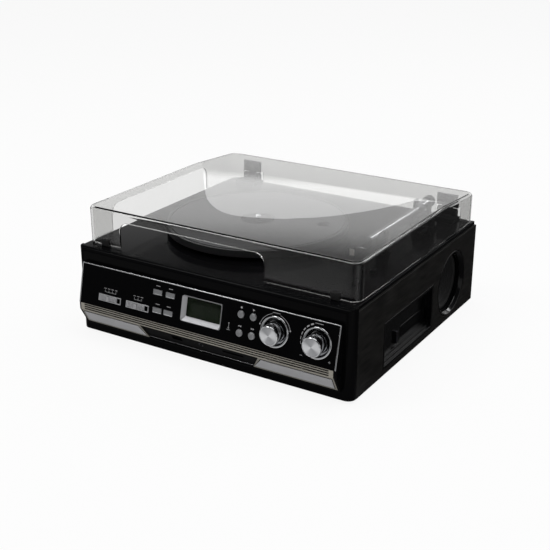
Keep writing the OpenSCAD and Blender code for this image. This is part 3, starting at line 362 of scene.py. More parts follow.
def plate(shape, outline, low, high, place, edge=0.3, segments=2, inset=0.0, step=0.0):
    """Adds a plate with a rounded front rim, cut to (x, y) points in millimetres"""
    front = shape.faces.new([shape.verts.new(Vector((x, y, high)) * MM) for x, y in outline])
    bmesh.ops.recalc_face_normals(shape, faces=[front])
    front.normal_update()
    if front.normal.z < 0:
        front.normal_flip()
    back = bmesh.ops.extrude_face_region(shape, geom=[front], use_keep_orig=True)
    walls = [v for v in back["geom"] if isinstance(v, bmesh.types.BMVert)]
    for vertex in walls:
        vertex.co.z = low * MM
    made = set(walls) | set(front.verts)
    if inset:
        inner = bmesh.ops.inset_region(shape, faces=[front], thickness=inset * MM, use_even_offset=True)
        raised = bmesh.ops.inset_region(shape, faces=[front], thickness=abs(step) * MM,
                                        depth=step * MM, use_even_offset=True)
        for ring in (inner, raised):
            made |= {v for f in ring["faces"] for v in f.verts}
        made |= set(front.verts)
    rim = [e for e in shape.edges if all(v in made and abs(v.co.z - high * MM) < 1e-7 for v in e.verts)
           and any(v.co.z < (high - 1e-3) * MM for f in e.link_faces for v in f.verts)]
    if edge:
        bevelled = bmesh.ops.bevel(shape, geom=rim, offset=edge * MM, segments=segments,
                                   affect="EDGES", profile=0.5)
        made = {v for v in made if v.is_valid} | {v for f in bevelled["faces"] for v in f.verts}
    for vertex in made:
        if vertex.is_valid:
            vertex.co = place @ vertex.co


low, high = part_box("fascia_trim")
TRIM_X = high.x / MM
FASCIA_LEN, TOP_LINE, END_LINE = 46.3, 1.2, 1.4
shape = bmesh.new()
for line in (corners(-TRIM_X, -TOP_LINE, TRIM_X, 0),
             corners(-TRIM_X, -FASCIA_LEN, END_LINE - TRIM_X, -TOP_LINE),
             corners(TRIM_X - END_LINE, -FASCIA_LEN, TRIM_X, -TOP_LINE)):
    plate(shape, line, -0.2, 0.6, face, edge=0.4, segments=3)
add_piece("fascia_line", shape, chrome, "cabinet", "bright_metal", "fascia_trim")


# ---- Ridged strip ----
# An extruded aluminium strip, brushed lengthwise and anodised champagne, that clips on below the
# fascia. The brushing draws fine streaks along X, and a black fill lies in each groove, which draws it as a
# dark line.

BRUSH_ALONG, BRUSH_ACROSS = 30.0, 0.25
champagne = grained("champagne anodised aluminium", (BRUSH_ALONG, BRUSH_ACROSS, BRUSH_ACROSS), 4.0,
                    ("#97938a", "#a5a198"), (0.22, 0.34), relief=(0.05, 0.03), more={"Metallic": 1.0})

low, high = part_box("ridged_strip")
STRIP_X, STRIP_TOP, STRIP_FOOT = high.x / MM, high.z / MM, low.z / MM
STRIP_FACE, STRIP_BACK = low.y / MM, high.y / MM
# Four real grooves lie 1.4 mm apart: here they are three and coarser, so that they show
GROOVE_PITCH, GROOVE_DEEP, GROOVES, PLAIN_END = 2.5, 0.7, 3, 5.0
FIRST_GROOVE, FILL_HALF, SECTION_STEPS = 0.2, 0.6, 83


def grooved(z):
    """How far the face lies back at a height, in the wave of the grooves"""
    down = STRIP_TOP - z - FIRST_GROOVE
    if down < 0 or down > GROOVES * GROOVE_PITCH:
        return 0.0
    return GROOVE_DEEP * (0.5 - 0.5 * math.cos(2 * math.pi * down / GROOVE_PITCH)) ** 2


def join_rings(shape, rings):
    """Joins rings of as many points each by bands of faces"""
    for near, far in zip(rings, rings[1:]):
        for i in range(len(near)):
            j = (i + 1) % len(near)
            shape.faces.new([near[i], near[j], far[j], far[i]])


heights = [STRIP_TOP - (STRIP_TOP - STRIP_FOOT) * k / SECTION_STEPS for k in range(SECTION_STEPS + 1)]
section = [(STRIP_FACE + grooved(z), z) for z in heights]
plain = [(STRIP_FACE, STRIP_TOP), (STRIP_FACE, STRIP_FOOT)]
shape = bmesh.new()
for points, x0, x1 in ((plain, -STRIP_X, PLAIN_END - STRIP_X),
                       (section, PLAIN_END - STRIP_X, STRIP_X - PLAIN_END),
                       (plain, STRIP_X - PLAIN_END, STRIP_X)):
    closed = [*points, (STRIP_BACK, STRIP_FOOT), (STRIP_BACK, STRIP_TOP)]
    ends = [[shape.verts.new(Vector((x, y, z)) * MM) for y, z in closed] for x in (x0, x1)]
    for end in ends:
        shape.faces.new(end)
    join_rings(shape, ends)
add_piece("grooved_strip", shape, champagne, "cabinet", "bright_metal", "ridged_strip")

shape = bmesh.new()
for k in range(GROOVES):
    z = STRIP_TOP - FIRST_GROOVE - (k + 0.5) * GROOVE_PITCH
    plate(shape, corners(PLAIN_END - STRIP_X, z - FILL_HALF, STRIP_X - PLAIN_END, z + FILL_HALF),
          -STRIP_FACE - GROOVE_DEEP - 0.4, -STRIP_FACE - 0.2, at(0, 0, 0, 90), edge=0)
add_piece("groove_lacquer", shape, gloss_abs, "cabinet", "satin_black")


# ---- Silver mouldings ----
# Lower trims, push buttons, switch frames, sliders and the display bezel: ABS sprayed with a
# fine aluminium-flake lacquer. It is satin, and the flake gives a slight sparkle. The trims and
# frames are glued on, and the buttons stand on their switches.

FLAKE, SPRAY_CLOUD = 0.35 * MM, 25 * MM


def flake_lacquer(name, dark, light):
    """Satin lacquer with aluminium flake, clouded a little between two greys"""
    material, tree = material_tree(name)
    coords = add(tree, "TexCoord").outputs["Object"]
    flakes = add(tree, "TexVoronoi", {"Vector": coords, "Scale": 1 / FLAKE})
    cloud = add(tree, "TexNoise", {"Vector": coords, "Scale": 1 / SPRAY_CLOUD, "Detail": 3.0})
    lacquer = add(tree, "Mix", {"Factor": cloud, "A": colour(dark), "B": colour(light)}, data_type="RGBA")
    satin = add(tree, "MapRange", {"Value": flakes, "To Min": 0.3, "To Max": 0.42})
    sparkle = add(tree, "Bump", {"Height": flakes, "Strength": 0.12, "Distance": 0.02 * MM})
    skin = add(tree, "BsdfPrincipled", {
        "Base Color": lacquer, "Metallic": 0.7, "Roughness": satin, "Normal": sparkle})
    add(tree, "OutputMaterial", {"Surface": skin})
    return material


silver = flake_lacquer("silver lacquer", "#b4b4b6", "#c6c6c9")
# The button caps take the same lacquer, drawn darker as painted shade
shaded_cap_silver = flake_lacquer("darker silver lacquer", "#8c8d8f", "#a2a3a5")

finish_node("switch_frames", silver, edge=0.25)
LIP_Y, LIP_Z, LOWER_LEAN, LOWER_LEN = -160.66, 33.6, 29.0, 20.4
lower_face = at(0, LIP_Y, LIP_Z, 90 + LOWER_LEAN)

RECT_W, RECT_H, ROUND_R = 11.5, 5.7, 4.0
BUTTONS = {
    "preset": (-57.4, 13.5), "mode": (-40.6, 13.6), "stop": (-56.1, 33.3), "folder": (-41.4, 33.2),
    "record": (49.3, 14.2), "play": (64.2, 14.1), "back": (49.6, 33.9), "forward": (64.6, 33.7)}


def oblong(x, y, w, h):
    """A rectangle about its middle"""
    return corners(x - w / 2, y - h / 2, x + w / 2, y + h / 2)


for name, (x, v) in BUTTONS.items():
    low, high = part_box(f"{name}_button")
    shape = bmesh.new()
    if name in ("preset", "mode", "stop", "folder"):
        plate(shape, oblong(x, -v, RECT_W, RECT_H), -2.8, 0.55, face, edge=0.3, inset=0.35, step=0.45)
        plate(shape, oblong(x, -v, RECT_W + 2, RECT_H + 2), -4, -2.8, face, edge=0)
    else:
        turned(shape, [(0, 0.6), (1.6, 0.66), (2.6, 0.95), (3.1, 1), (3.6, 0.8), (3.95, 0.3),
                       (ROUND_R, -0.4), (ROUND_R, -2.8), (ROUND_R + 1, -2.8), (ROUND_R + 1, -4), (0, -4)],
               face @ at(x, -v, 0), 48)
    stem_z = FASCIA_Z - v * math.cos(math.radians(LEAN))
    plate(shape, oblong(x, 0, 3, 2.4), -high.y / MM, -low.y / MM - 4, at(0, 0, stem_z, 90), edge=0)
    add_piece(f"{name}_cap", shape, shaded_cap_silver, name, "silver_paint", f"{name}_button")

# The bezel is a deep frame, wide on its left and lower inner walls and thin on the other two
DEEP, RIM_OUT = -4.0, 0.5


def rounded_frame(x0, x1, v0, v1, r, z):
    """One ring of the bezel: a rectangle with round corners at a height out of the face"""
    ring = []
    for x, v, start in ((x1, v0, 0), (x0, v0, 90), (x0, v1, 180), (x1, v1, 270)):
        sx, sv = (1 if x == x1 else -1), (1 if v == v1 else -1)
        for u, w in (polar(r, a) for a in range(start, start + 91, 15)):
            ring.append(face @ (Vector((x - sx * r + u, -(v - sv * r) + w, z)) * MM))
    return ring


shape = bmesh.new()
rings = [[shape.verts.new(p) for p in rounded_frame(*ring)] for ring in (
    (-25, 26, 9, 37, 2.6, DEEP), (-25, 26, 9, 37, 2.6, 0.1), (-24.8, 25.8, 9.2, 36.8, 2.5, RIM_OUT),
    (-24.4, 25.4, 9.6, 36.4, 2.3, RIM_OUT), (-24.1, 25.2, 9.8, 36.1, 2.1, RIM_OUT - 0.3),
    (-21.4, 24.5, 10.6, 32.3, 1.2, -3.4), (-21, 24.3, 10.8, 31.9, 1, DEEP))]
join_rings(shape, [*rings, rings[0]])
add_piece("bezel_frame", shape, silver, "cabinet", "silver_paint", "display_bezel")

# Each trim is a champagne frame, and a raised silver field inside it. The gap at the field's edge is a black
# line, which is painted shade
TRIM_END, LINE_IN, FIELD_IN = 161.5, 1.9, 2.7
frames, lines, fields = bmesh.new(), bmesh.new(), bmesh.new()
for outline in ([(-TRIM_END, -0.3), (-TRIM_END, -LOWER_LEN), (-74, -LOWER_LEN), (-80, -0.3)],
                [(74, -0.3), (62, -LOWER_LEN), (TRIM_END, -LOWER_LEN), (TRIM_END, -0.3)]):
    middle = sum(x for x, y in outline) / 4
    for shape, inward, low, high, edge in (
            (frames, 0, -2, 0, 0.3), (lines, LINE_IN, -0.1, 0.04, 0), (fields, FIELD_IN, -0.1, 0.6, 0.5)):
        smaller = [(x - math.copysign(inward, x - middle),
                    y + math.copysign(inward, -LOWER_LEN / 2 - y)) for x, y in outline]
        plate(shape, smaller, low, high, lower_face, edge=edge)
add_piece("lower_trim_frames", frames, champagne, "cabinet", "silver_paint", "lower_trims")
add_piece("lower_trim_lines", lines, gloss_abs, "cabinet", "satin_black")
add_piece("lower_trim_fields", fields, silver, "cabinet", "silver_paint")

# A thin bright bead closes the lower edge of the socket bay
shape = bmesh.new()
plate(shape, [(-73.6, 0.9 - LOWER_LEN), (-74, -LOWER_LEN), (62, -LOWER_LEN), (62.6, 0.9 - LOWER_LEN)],
      -2.2, -1.2, lower_face, edge=0.2)
add_piece("bay_bead", shape, chrome, "cabinet", "bright_metal")


# ---- Slide switches ----
# Two silver grips, each one moulding with a high central ridge and fine finger ribs on both sides.
# They run in their frames on the fascia.

# Real ribs are 1 mm apart: these are twice as coarse, so that they show
RIB_PITCH, SWITCH_V, GRIP_HALF = 2.1, 34.5, 2.45


def ribbed_slider(name, node, body):
    """A grip with ribs on the face of the CAD slider"""
    low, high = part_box(node)
    x0, x1 = low.x / MM, high.x / MM
    middle = (x0 + x1) / 2
    shape = bmesh.new()
    plate(shape, oblong(middle, -SWITCH_V, x1 - x0, 2 * GRIP_HALF), -0.5, 0.85, face, edge=0.25)
    for k in range(1, 5):
        for x in (middle - 1.6 - k * RIB_PITCH, middle + 1.6 + k * RIB_PITCH):
            if x0 + 0.6 < x < x1 - 0.6:
                plate(shape, oblong(x, -SWITCH_V, 1, 2 * GRIP_HALF - 0.6), 0.6, 1.7, face, edge=0.35)
    plate(shape, oblong(middle, -SWITCH_V, 3.8, 2 * GRIP_HALF), 0.6, 2.2, face, edge=0.6, segments=3)
    stem_z = (low.z + high.z) / 2 / MM
    plate(shape, oblong(middle, 0, 4, 2.6), -high.y / MM, -low.y / MM - 3.5, at(0, 0, stem_z, 90), edge=0)
    add_piece(name, shape, silver, body, "silver_paint", node)


ribbed_slider("function_grip", "function_slider", "function_switch")
ribbed_slider("band_grip", "band_slider", "band_switch")


# ---- Knobs ----
# Each knob is a chromed cup on a plastic shaft, with a spun aluminium disc pressed into its face.
# The disc's turning lines are drawn in its tones, and two bright fans on it are painted highlights, which
# turn with the knob.

spun, tree = material_tree("spun aluminium")
DISC_WIDE, TURNING = 19.0, 0.3
coords = add(tree, "TexCoord").outputs["Generated"]
centred = add(tree, "VectorMath", {0: coords, 1: (0.5, 0.5, 0.5)}, operation="SUBTRACT")
flattened = add(tree, "VectorMath", {0: centred, 1: (1.0, 0.0, 1.0)}, operation="MULTIPLY")
distance = add(tree, "VectorMath", {0: flattened}, operation="LENGTH")
lines = add(tree, "TexNoise", {
    "W": distance, "Scale": DISC_WIDE / TURNING, "Detail": 2.0}, noise_dimensions="1D")
compass = add(tree, "SeparateXYZ", {"Vector": centred})
bearing = add(tree, "Math", {0: compass.outputs["Z"], 1: compass.outputs["X"]}, operation="ARCTAN2")
twice = add(tree, "Math", {0: bearing, 1: 2.0, 2: -0.5}, operation="MULTIPLY_ADD")
swing = add(tree, "Math", {0: twice}, operation="COSINE")
# Painted highlight: two bright fans laid into the disc's colour by angle
painted_fan_highlights = add(tree, "MapRange", {
    "Value": swing, "From Min": -0.6, "From Max": 1.0, "To Min": 0.0, "To Max": 0.85},
    interpolation_type="SMOOTHSTEP")
turning_lines_and_painted_fans = add(tree, "Math", {0: lines, 1: 0.3, 2: painted_fan_highlights}, operation="MULTIPLY_ADD")
disc_tone_with_painted_fans = add(tree, "Mix", {
    "Factor": turning_lines_and_painted_fans, "A": colour("#98999c"), "B": colour("#e4e5e7")}, data_type="RGBA")
turned_bump = add(tree, "Bump", {"Height": lines, "Strength": 0.25, "Distance": 0.02 * MM})
around = add(tree, "Tangent", direction_type="RADIAL", axis="Y")
skin = add(tree, "BsdfPrincipled", {
    "Base Color": disc_tone_with_painted_fans, "Metallic": 1.0, "Roughness": 0.3, "Anisotropic": 0.75,
    "Tangent": around, "Normal": turned_bump})
add(tree, "OutputMaterial", {"Surface": skin})

for name in ("tuning", "volume"):
    low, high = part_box(f"{name}_knob")
    middle = (low + high) / 2 / MM
    place = at(middle.x, low.y / MM, middle.z, 90)
    shape = bmesh.new()
    turned(shape, [
        (0, -13), (3, -13), (3, -(high.y - low.y) / MM), (0, -(high.y - low.y) / MM)], place, 32)
    turned_closed(shape, [
        (0, -3), (8.75, -3), (8.75, -14), (10.3, -14), (10.65, -13.6), (10.75, -13), (10.75, -0.9),
        (10.55, -0.35), (10.1, 0), (9.7, 0), (9.5, -0.35), (0, -0.4)], place, 96)
    add_piece(f"{name}_cup", shape, chrome, name, "bright_metal", f"{name}_knob")
    shape = bmesh.new()
    turned(shape, [(0, -0.38), (9.45, -0.38), (9.45, -0.16), (9.25, -0.05), (5, -0.09), (0, -0.1)],
           place, 96)
    add_piece(f"{name}_face", shape, spun, name, "spun_aluminium")


# ---- Display ----
# A liquid-crystal display behind a clear acrylic window. Switched off, the glass is a dark olive,
# and its segments show only as faint ghosts.

CELL_CLOUD, GHOST_CLOUD, SMEAR = 22.2, 11.1, 16.7
lcd_glass = grained("unlit display glass", CELL_CLOUD, 2.0, ("#0d160a", "#13200f"), (0.25,),
                    more={"Specular IOR Level": 0.3})
lcd_ghost = grained("display segments at rest", GHOST_CLOUD, 2.0, ("#0a1108", "#0d160a"), (0.25,),
                    more={"Specular IOR Level": 0.3})
window = grained("clear acrylic window", SMEAR, 2.0, ("#f2f4f0",), (0.0, 0.02),
                 more={"IOR": 1.02, "Transmission Weight": 1.0})

clear = finish_node("display_window", window)
clear.visible_shadow = False
clear.visible_diffuse = False
finish_node("lcd_module", lcd_glass)

SEGMENT_BACK, SEGMENT_FRONT = -5.5, -5.45


def digit(shape, x, y, w, h, bar):
    """Seven bars of a digit, with a gap between their ends"""
    gap = bar * 0.35
    bars = [corners(x + gap, level - bar / 2, x + w - gap, level + bar / 2)
            for level in (y, y + h / 2, y + h)]
    bars += [corners(x0, y0, x0 + bar, y0 + h / 2 - 2 * gap)
             for x0 in (x - bar / 2, x + w - bar / 2) for y0 in (y + gap, y + h / 2 + gap)]
    for outline in bars:
        plate(shape, outline, SEGMENT_BACK, SEGMENT_FRONT, face, edge=0)


shape = bmesh.new()
for k in range(4):
    digit(shape, -14 + k * 8.4 + (1.6 if k > 1 else 0), -26, 5, 8.5, 0.9)
for k in range(6):
    digit(shape, -17 + k * 3.6, -30.2, 1.9, 2.6, 0.35)
add_piece("display_segments", shape, lcd_ghost, "cabinet", "screen")


# ---- Printed marks ----
# Pale grey pad-printed marks on the fascia: brackets over the switches, a symbol or dash for each
# button, arcs at the tuning knob and a scale of growing dashes at the volume knob.

PRINT_MESH, INK_T = 1.11, 0.06
ink = grained("pale grey printing ink", PRINT_MESH, 2.0, ("#8f8f90", "#b8b8ba"), (0.6,))


def printed(shape, outline):
    """A printed patch on the fascia, given by (x, distance down the face) points"""
    plate(shape, [(x, -v) for x, v in outline], -0.02, INK_T, face, edge=0)


def bar(shape, x0, v0, x1, v1):
    """A printed line, level or upright"""
    printed(shape, corners(x0, v0, x1, v1))


def arc(shape, x, v, r, a0, a1, width, steps=24):
    """A printed arc about a knob, from angle a0 to a1 in degrees"""
    for i in range(steps):
        b0, b1 = (a0 + (a1 - a0) * k / steps for k in (i, i + 1))
        printed(shape, [(x + u, v - w) for u, w in (
            polar(r, b0), polar(r + width, b0), polar(r + width, b1), polar(r, b1))])


def dot(shape, x, v, r):
    """A printed dot"""
    printed(shape, [(x + u, v + w) for u, w in (polar(r, a) for a in range(0, 360, 30))])


shape = bmesh.new()
for x, ticks in ((-121.2, (-7.5, -2.5, 2.5, 7.5)), (-82.8, (-5, 0, 5))):
    bar(shape, x + ticks[0], 27.4, x + ticks[-1], 27.7)
    for tick in ticks:
        bar(shape, x + tick - 0.15, 25.2, x + tick + 0.15, 27.4)
        bar(shape, x + tick - 1.6, 23.4, x + tick + 1.6, 23.9)
for x, v in ((-57.4, 6.6), (-40.6, 6.7), (-56.1, 26.4), (-41.4, 26.3)):
    bar(shape, x - 2.6, v - 0.3, x + 2.6, v + 0.3)
printed(shape, [(63.1, 5.6), (65.5, 6.8), (63.1, 8)])
dot(shape, 49.3, 6.9, 1.1)
for x in (47.2, 49.3):
    printed(shape, [(x + 1.9, 25.6), (x, 26.6), (x + 1.9, 27.6)])
for x in (63, 65.1):
    printed(shape, [(x, 25.4), (x + 1.9, 26.4), (x, 27.4)])
dot(shape, 36, 26.4, 0.7)
bar(shape, 35.8, 27.8, 36.2, 33.5)
for v, half in ((31.2, 1.1), (33.2, 2.2)):
    bar(shape, 36 - half, v, 36 + half, v + 0.4)
for end, start in ((15, 75), (165, 105)):
    arc(shape, TUNING_X, TUNING_V, 18.3, min(start, end), max(start, end), 0.4)
    u, w = polar(18.5, end)
    dot(shape, TUNING_X + u, TUNING_V - w, 0.9)
for x in (TUNING_X, VOLUME_X):
    bar(shape, x - 4.5, 3.6, x + 4.5, 4.1)
for k in range(6):
    arc(shape, VOLUME_X, VOLUME_V, 18.4, 196 - k * 15.5, 186 - k * 15.5, 0.35 + 0.24 * k, steps=3)
bar(shape, VOLUME_X - 17.4, 39.3, VOLUME_X - 14.8, 39.7)
bar(shape, VOLUME_X + 14.8, 39.3, VOLUME_X + 17.4, 39.7)
bar(shape, VOLUME_X + 15.9, 38.2, VOLUME_X + 16.3, 40.8)
add_piece("printed_marks", shape, ink, "cabinet", "silver_paint")


# ---- Sockets ----
# Front: black shells of the memory sockets and the headphone socket. Rear: two phono sockets and
# an aerial socket in nickel-plated steel, with dyed nylon insulators, and a figure-eight mains
# inlet. All are held by the boards behind them.

PLATING_GRAIN, NYLON_GRAIN = 2.0, 1.25
nickel = grained("nickel-plated steel", PLATING_GRAIN, 3.0, ("#c9c5bb",), (0.18, 0.32),
                 more={"Metallic": 1.0})

finish_node("front_sockets", black_zinc)


def nylon(name, code):
    """Dyed nylon of a socket's insulator"""
    return grained(name, NYLON_GRAIN, 2.0, (code,), (0.4, 0.55))


low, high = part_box("rear_sockets")
REAR_Y = high.y / MM
SOCKET_Z = 30.0
for name, x, code in (("white", 95, "#d8d8d4"), ("red", 113, "#8c1a16"), ("aerial", 140, "#1c1c1e")):
    place = at(x, REAR_Y, SOCKET_Z, -90)
    shape = bmesh.new()
    turned_closed(shape, [(3.5, -0.4), (4.45, -0.4), (4.45, -2.5), (6.5, -2.5), (6.5, -12.5), (1.7, -12.5),
                          (1.7, -9), (3.5, -9)], place, 48)
    turned_closed(shape, [(1.7, -0.6), (2.1, -0.6), (2.1, -8.8), (1.7, -8.8)], place, 48)
    add_piece(f"{name}_insulator", shape, nylon(f"{name} nylon", code), "cabinet", "satin_black")
    shape = bmesh.new()
    turned_closed(shape, [(3.4, 0), (3.4, -8.9), (2.25, -8.9), (2.25, -8), (3, -8), (3, -0.2), (3.2, 0)],
                  place, 48)
    turned_closed(shape, [(1.65, -9), (1.65, -0.2), (1.45, 0), (1.1, -0.2), (1.1, -9)], place, 32)
    add_piece(f"{name}_contacts", shape, nickel, "cabinet", "steel", "rear_sockets")

INLET_X, INLET_Z, LOBE_R, LOBE_X = -118.0, 31.0, 3.9, 4.1
inlet_place = at(INLET_X, REAR_Y, INLET_Z, -90)
shape = bmesh.new()
plate(shape, oblong(0, 0, 23.6, 13.6), -2.5, 0, inlet_place, edge=0.4)
plate(shape, oblong(0, 0, 30, 20), -18.5, -2.5, inlet_place, edge=0.3)
inlet = add_piece("mains_inlet", shape, satin_abs, "cabinet", "satin_black")
well = bmesh.new()
eight = [(side * LOBE_X + u, w) for side, a0 in ((1, -90), (-1, 90))
         for u, w in (polar(LOBE_R, a) for a in range(a0, a0 + 181, 15))]
plate(well, eight, -14, 1, inlet_place, edge=0)
cut_away(inlet, well)
shape = bmesh.new()
for x in (-4.3, 4.3):
    turned(shape, [(0, -14), (1.2, -14), (1.2, -4.8), (0.9, -4.2), (0, -4)],
           at(INLET_X + x, REAR_Y, INLET_Z, -90), 24)
add_piece("mains_pins", shape, nickel, "cabinet", "steel")


# ---- Loudspeakers ----
# A black paper cone with moulded ribs, a glued dust cap and a rolled rubber surround in each side.
# The basket is pressed steel, with the magnet behind it.

FIBRE = 0.6
paper = grained("black paper cone", FIBRE, 5.0, ("#0c0c0d", "#1d1d1e"), (0.7,), relief=(0.4, 0.1),
                more={"Specular IOR Level": 0.3})

low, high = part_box("speakers")
SPEAKER_Y = (low.y + high.y) / 2 / MM
SPEAKER_Z = (low.z + high.z) / 2 / MM
SPEAKER_FRONT = high.x / MM
cone = [(10 + 18.5 * t, -14.6 + 12 * t ** 0.85 + 0.25 * math.sin(t * 38)) for t in
        [k / 40 for k in range(41)]]
cap = [(9.6 * math.sin(math.radians(a)), -14.5 + 4.6 * math.cos(math.radians(a)))
       for a in range(0, 91, 9)]
roll = [(32 - u, -2.6 + w) for u, w in (polar(3.4, a, 2.2) for a in range(0, 181, 15))]
for name, side in (("right", 1), ("left", -1)):
    place = at(side * SPEAKER_FRONT, SPEAKER_Y, SPEAKER_Z, 90 * side, "Y")
    shape = bmesh.new()
    turned(shape, [*cap, *cone, (28.5, -2.9), (10, -16.2), (0, -19.5)], place, 96)
    add_piece(f"{name}_cone", shape, paper, "cabinet", "paper_cone")
    shape = bmesh.new()
    turned_closed(shape, [*roll, (36.2, -2.6), (36.2, -3), (28.4, -3.1)], place, 96)
    add_piece(f"{name}_surround", shape, rubber, "cabinet", "rubber")
    shape = bmesh.new()
    turned(shape, [
        (36, -2.4), (36, -0.2), (36.3, 0), (39.9, 0), (40.2, -0.3), (40.2, -2.3), (39.9, -2.5),
        (36, -3.2), (22, -20), (20, -22), (20, -33.6), (19.6, -34), (0, -34)], place, 96)
    turned(shape, [(35.9, -2.4), (35.9, -3.2), (21.5, -19.5), (0, -19.7)], place, 96)
    add_piece(f"{name}_basket", shape, black_zinc, "cabinet", "satin_black", "speakers")


# ---- Inside ----
# Hidden by the body, seen only through vents and slots: glass-epoxy boards with dark components,
# and the transformer's laminated core under its taped winding.

TRACK_PITCH, SHEET_PITCH = 5.5556 * MM, 0.98175 * MM
WAVE = math.pi / 10  # How far apart a wave texture's bands are at scale 1


def circuit_board(name, mask, over_copper):
    """Glass-epoxy with a solder mask, which looks paler over the copper"""
    material, tree = material_tree(name)
    coords = add(tree, "TexCoord").outputs["Object"]
    tracks = add(tree, "TexVoronoi", {"Vector": coords, "Scale": 1 / TRACK_PITCH}, distance="CHEBYCHEV")
    copper_pour = add(tree, "MapRange", {"Value": tracks, "From Min": 0.3, "From Max": 0.34})
    resist = add(tree, "Mix", {
        "Factor": copper_pour, "A": colour(mask), "B": colour(over_copper)}, data_type="RGBA")
    skin = add(tree, "BsdfPrincipled", {"Base Color": resist, "Roughness": 0.45, "Specular IOR Level": 0.2})
    add(tree, "OutputMaterial", {"Surface": skin})
    return material


lamination, tree = material_tree("laminated core steel")
coords = add(tree, "TexCoord").outputs["Object"]
sheets = add(tree, "TexWave", {
    "Vector": coords, "Scale": WAVE / SHEET_PITCH, "Distortion": 0.5}, bands_direction="X")
varnish = add(tree, "Mix", {
    "Factor": sheets.outputs["Fac"], "A": colour("#3a3530"), "B": colour("#6a625a")}, data_type="RGBA")
skin = add(tree, "BsdfPrincipled", {"Base Color": varnish, "Metallic": 0.7, "Roughness": 0.5})
add(tree, "OutputMaterial", {"Surface": skin})

# The front board is drawn near black as painted shade, so that the gaps round the knobs and the switch slots
# look dark
finish_node("front_circuit_board", circuit_board("black circuit board", "#08080a", "#0f0f11"))
finish_node("main_circuit_board", circuit_board("green circuit board", "#0f3a22", "#1b5a35"))
finish_node("power_transformer", lamination, edge=0.5)


# ---- Turntable ----
# A die-cast platter in near-black paint, a dark grey felt mat, a moulded adaptor and a ground
# steel spindle. A rubber belt runs from the motor's brass pulley round a ring under the platter.

ORANGE_PEEL = 2.38
cast_paint = grained("dark paint on die-cast zinc", ORANGE_PEEL, 3.0, ("#141415", "#1d1d1f"), (0.38,),
                     relief=(0.15, 0.05))

felt, tree = material_tree("grey wool felt")
WOOL, WORN_PATCH = 0.8 * MM, 55.556 * MM
coords = add(tree, "TexCoord").outputs["Object"]
wool = add(tree, "TexNoise", {"Vector": coords, "Scale": 1 / WOOL, "Detail": 6.0, "Distortion": 1.2})
patches = add(tree, "TexNoise", {"Vector": coords, "Scale": 1 / WORN_PATCH, "Detail": 3.0})
wool_tone = add(tree, "Mix", {
    "Factor": wool, "A": colour("#1c1c1d"), "B": colour("#303032")}, data_type="RGBA")
worn_tone = add(tree, "Mix", {"Factor": patches, "A": wool_tone, "B": colour("#262628")}, data_type="RGBA")
nap = add(tree, "Bump", {"Height": wool, "Strength": 0.6, "Distance": 0.2 * MM})
skin = add(tree, "BsdfPrincipled", {
    "Base Color": worn_tone, "Roughness": 0.95, "Specular IOR Level": 0.1, "Sheen Weight": 0.3,
    "Normal": nap})
add(tree, "OutputMaterial", {"Surface": skin})

GRINDING_ACROSS, GRINDING_ALONG, TARNISH = 0.25, 25.0, 3.33
ground_steel = grained("ground steel", (GRINDING_ALONG, GRINDING_ALONG, GRINDING_ACROSS), 2.0, ("#c6c7ca",),
                       (0.12, 0.28), more={"Metallic": 1.0})
brass = grained("turned brass", TARNISH, 3.0, ("#a8843c", "#cfae62"), (0.25,), more={"Metallic": 1.0})

finish_node("platter", cast_paint, edge=0.4)
finish_node("slip_mat", felt, edge=0.35)
finish_node("drive_belt", rubber)
finish_node("turntable_motor", ground_steel, edge=0.6)
finish_node("motor_pulley", brass, edge=0.3)
finish_node("spindle", ground_steel)

low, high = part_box("record_adaptor")
middle = (low + high) / 2 / MM
FLAT, TOP = low.z / MM, high.z / MM
shape = bmesh.new()
turned_closed(shape, [
    (3.75, FLAT), (18.7, FLAT), (19, FLAT + 0.4), (19, TOP - 0.5), (18.6, TOP), (16, TOP),
    (15.6, TOP - 0.6), (8.4, TOP - 0.6), (8, TOP), (4.2, TOP), (3.75, TOP - 0.4)],
    at(middle.x, middle.y, 0), 96)
add_piece("adaptor_disc", shape, satin_abs, "platter", "satin_black", "record_adaptor")


# ---- Tonearm ----
# A straight polished tube on a black swivel, with a ribbed counterweight at the rear and a black
# headshell at the front. The ivory cartridge is clipped under the shell and carries the stylus.

low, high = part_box("tonearm")
ARM_X = (low.x + high.x) / 2 / MM
ARM_Z = (low.z + high.z) / 2 / MM
PIVOT_Y = 115.75
HEAD_Y = low.y / MM
place = at(ARM_X, 0, ARM_Z, -90)
shape = bmesh.new()
turned(shape, [
    (0, HEAD_Y), (3.7, HEAD_Y), (4, HEAD_Y + 0.3), (4, HEAD_Y + 6), (3.7, HEAD_Y + 6.3),
    (3.1, HEAD_Y + 6.6), (3.1, PIVOT_Y - 9), (3.4, PIVOT_Y - 8.4), (5.7, PIVOT_Y - 8),
    (6, PIVOT_Y - 7.6), (6, PIVOT_Y + 7.6), (5.7, PIVOT_Y + 8), (3, PIVOT_Y + 8.3),
    (3, PIVOT_Y + 14), (0, PIVOT_Y + 14)], place, 64)
turned(shape, [(0, -8.5), (1.5, -8.5), (1.5, 8.5), (0, 8.5)], at(ARM_X, PIVOT_Y, ARM_Z, 90, "Y"), 24)
add_piece("arm_tube", shape, ground_steel, "arm", "bright_metal", "tonearm")
ribs = [(6.9 - (0.35 if k % 2 else 0), PIVOT_Y + 13.4 + k * 0.6) for k in range(14)]
shape = bmesh.new()
turned(shape, [(0, PIVOT_Y + 13), (6.5, PIVOT_Y + 13), *ribs, (6.5, PIVOT_Y + 22), (0, PIVOT_Y + 22)],
       place, 64)
add_piece("counterweight", shape, satin_abs, "arm", "satin_black")

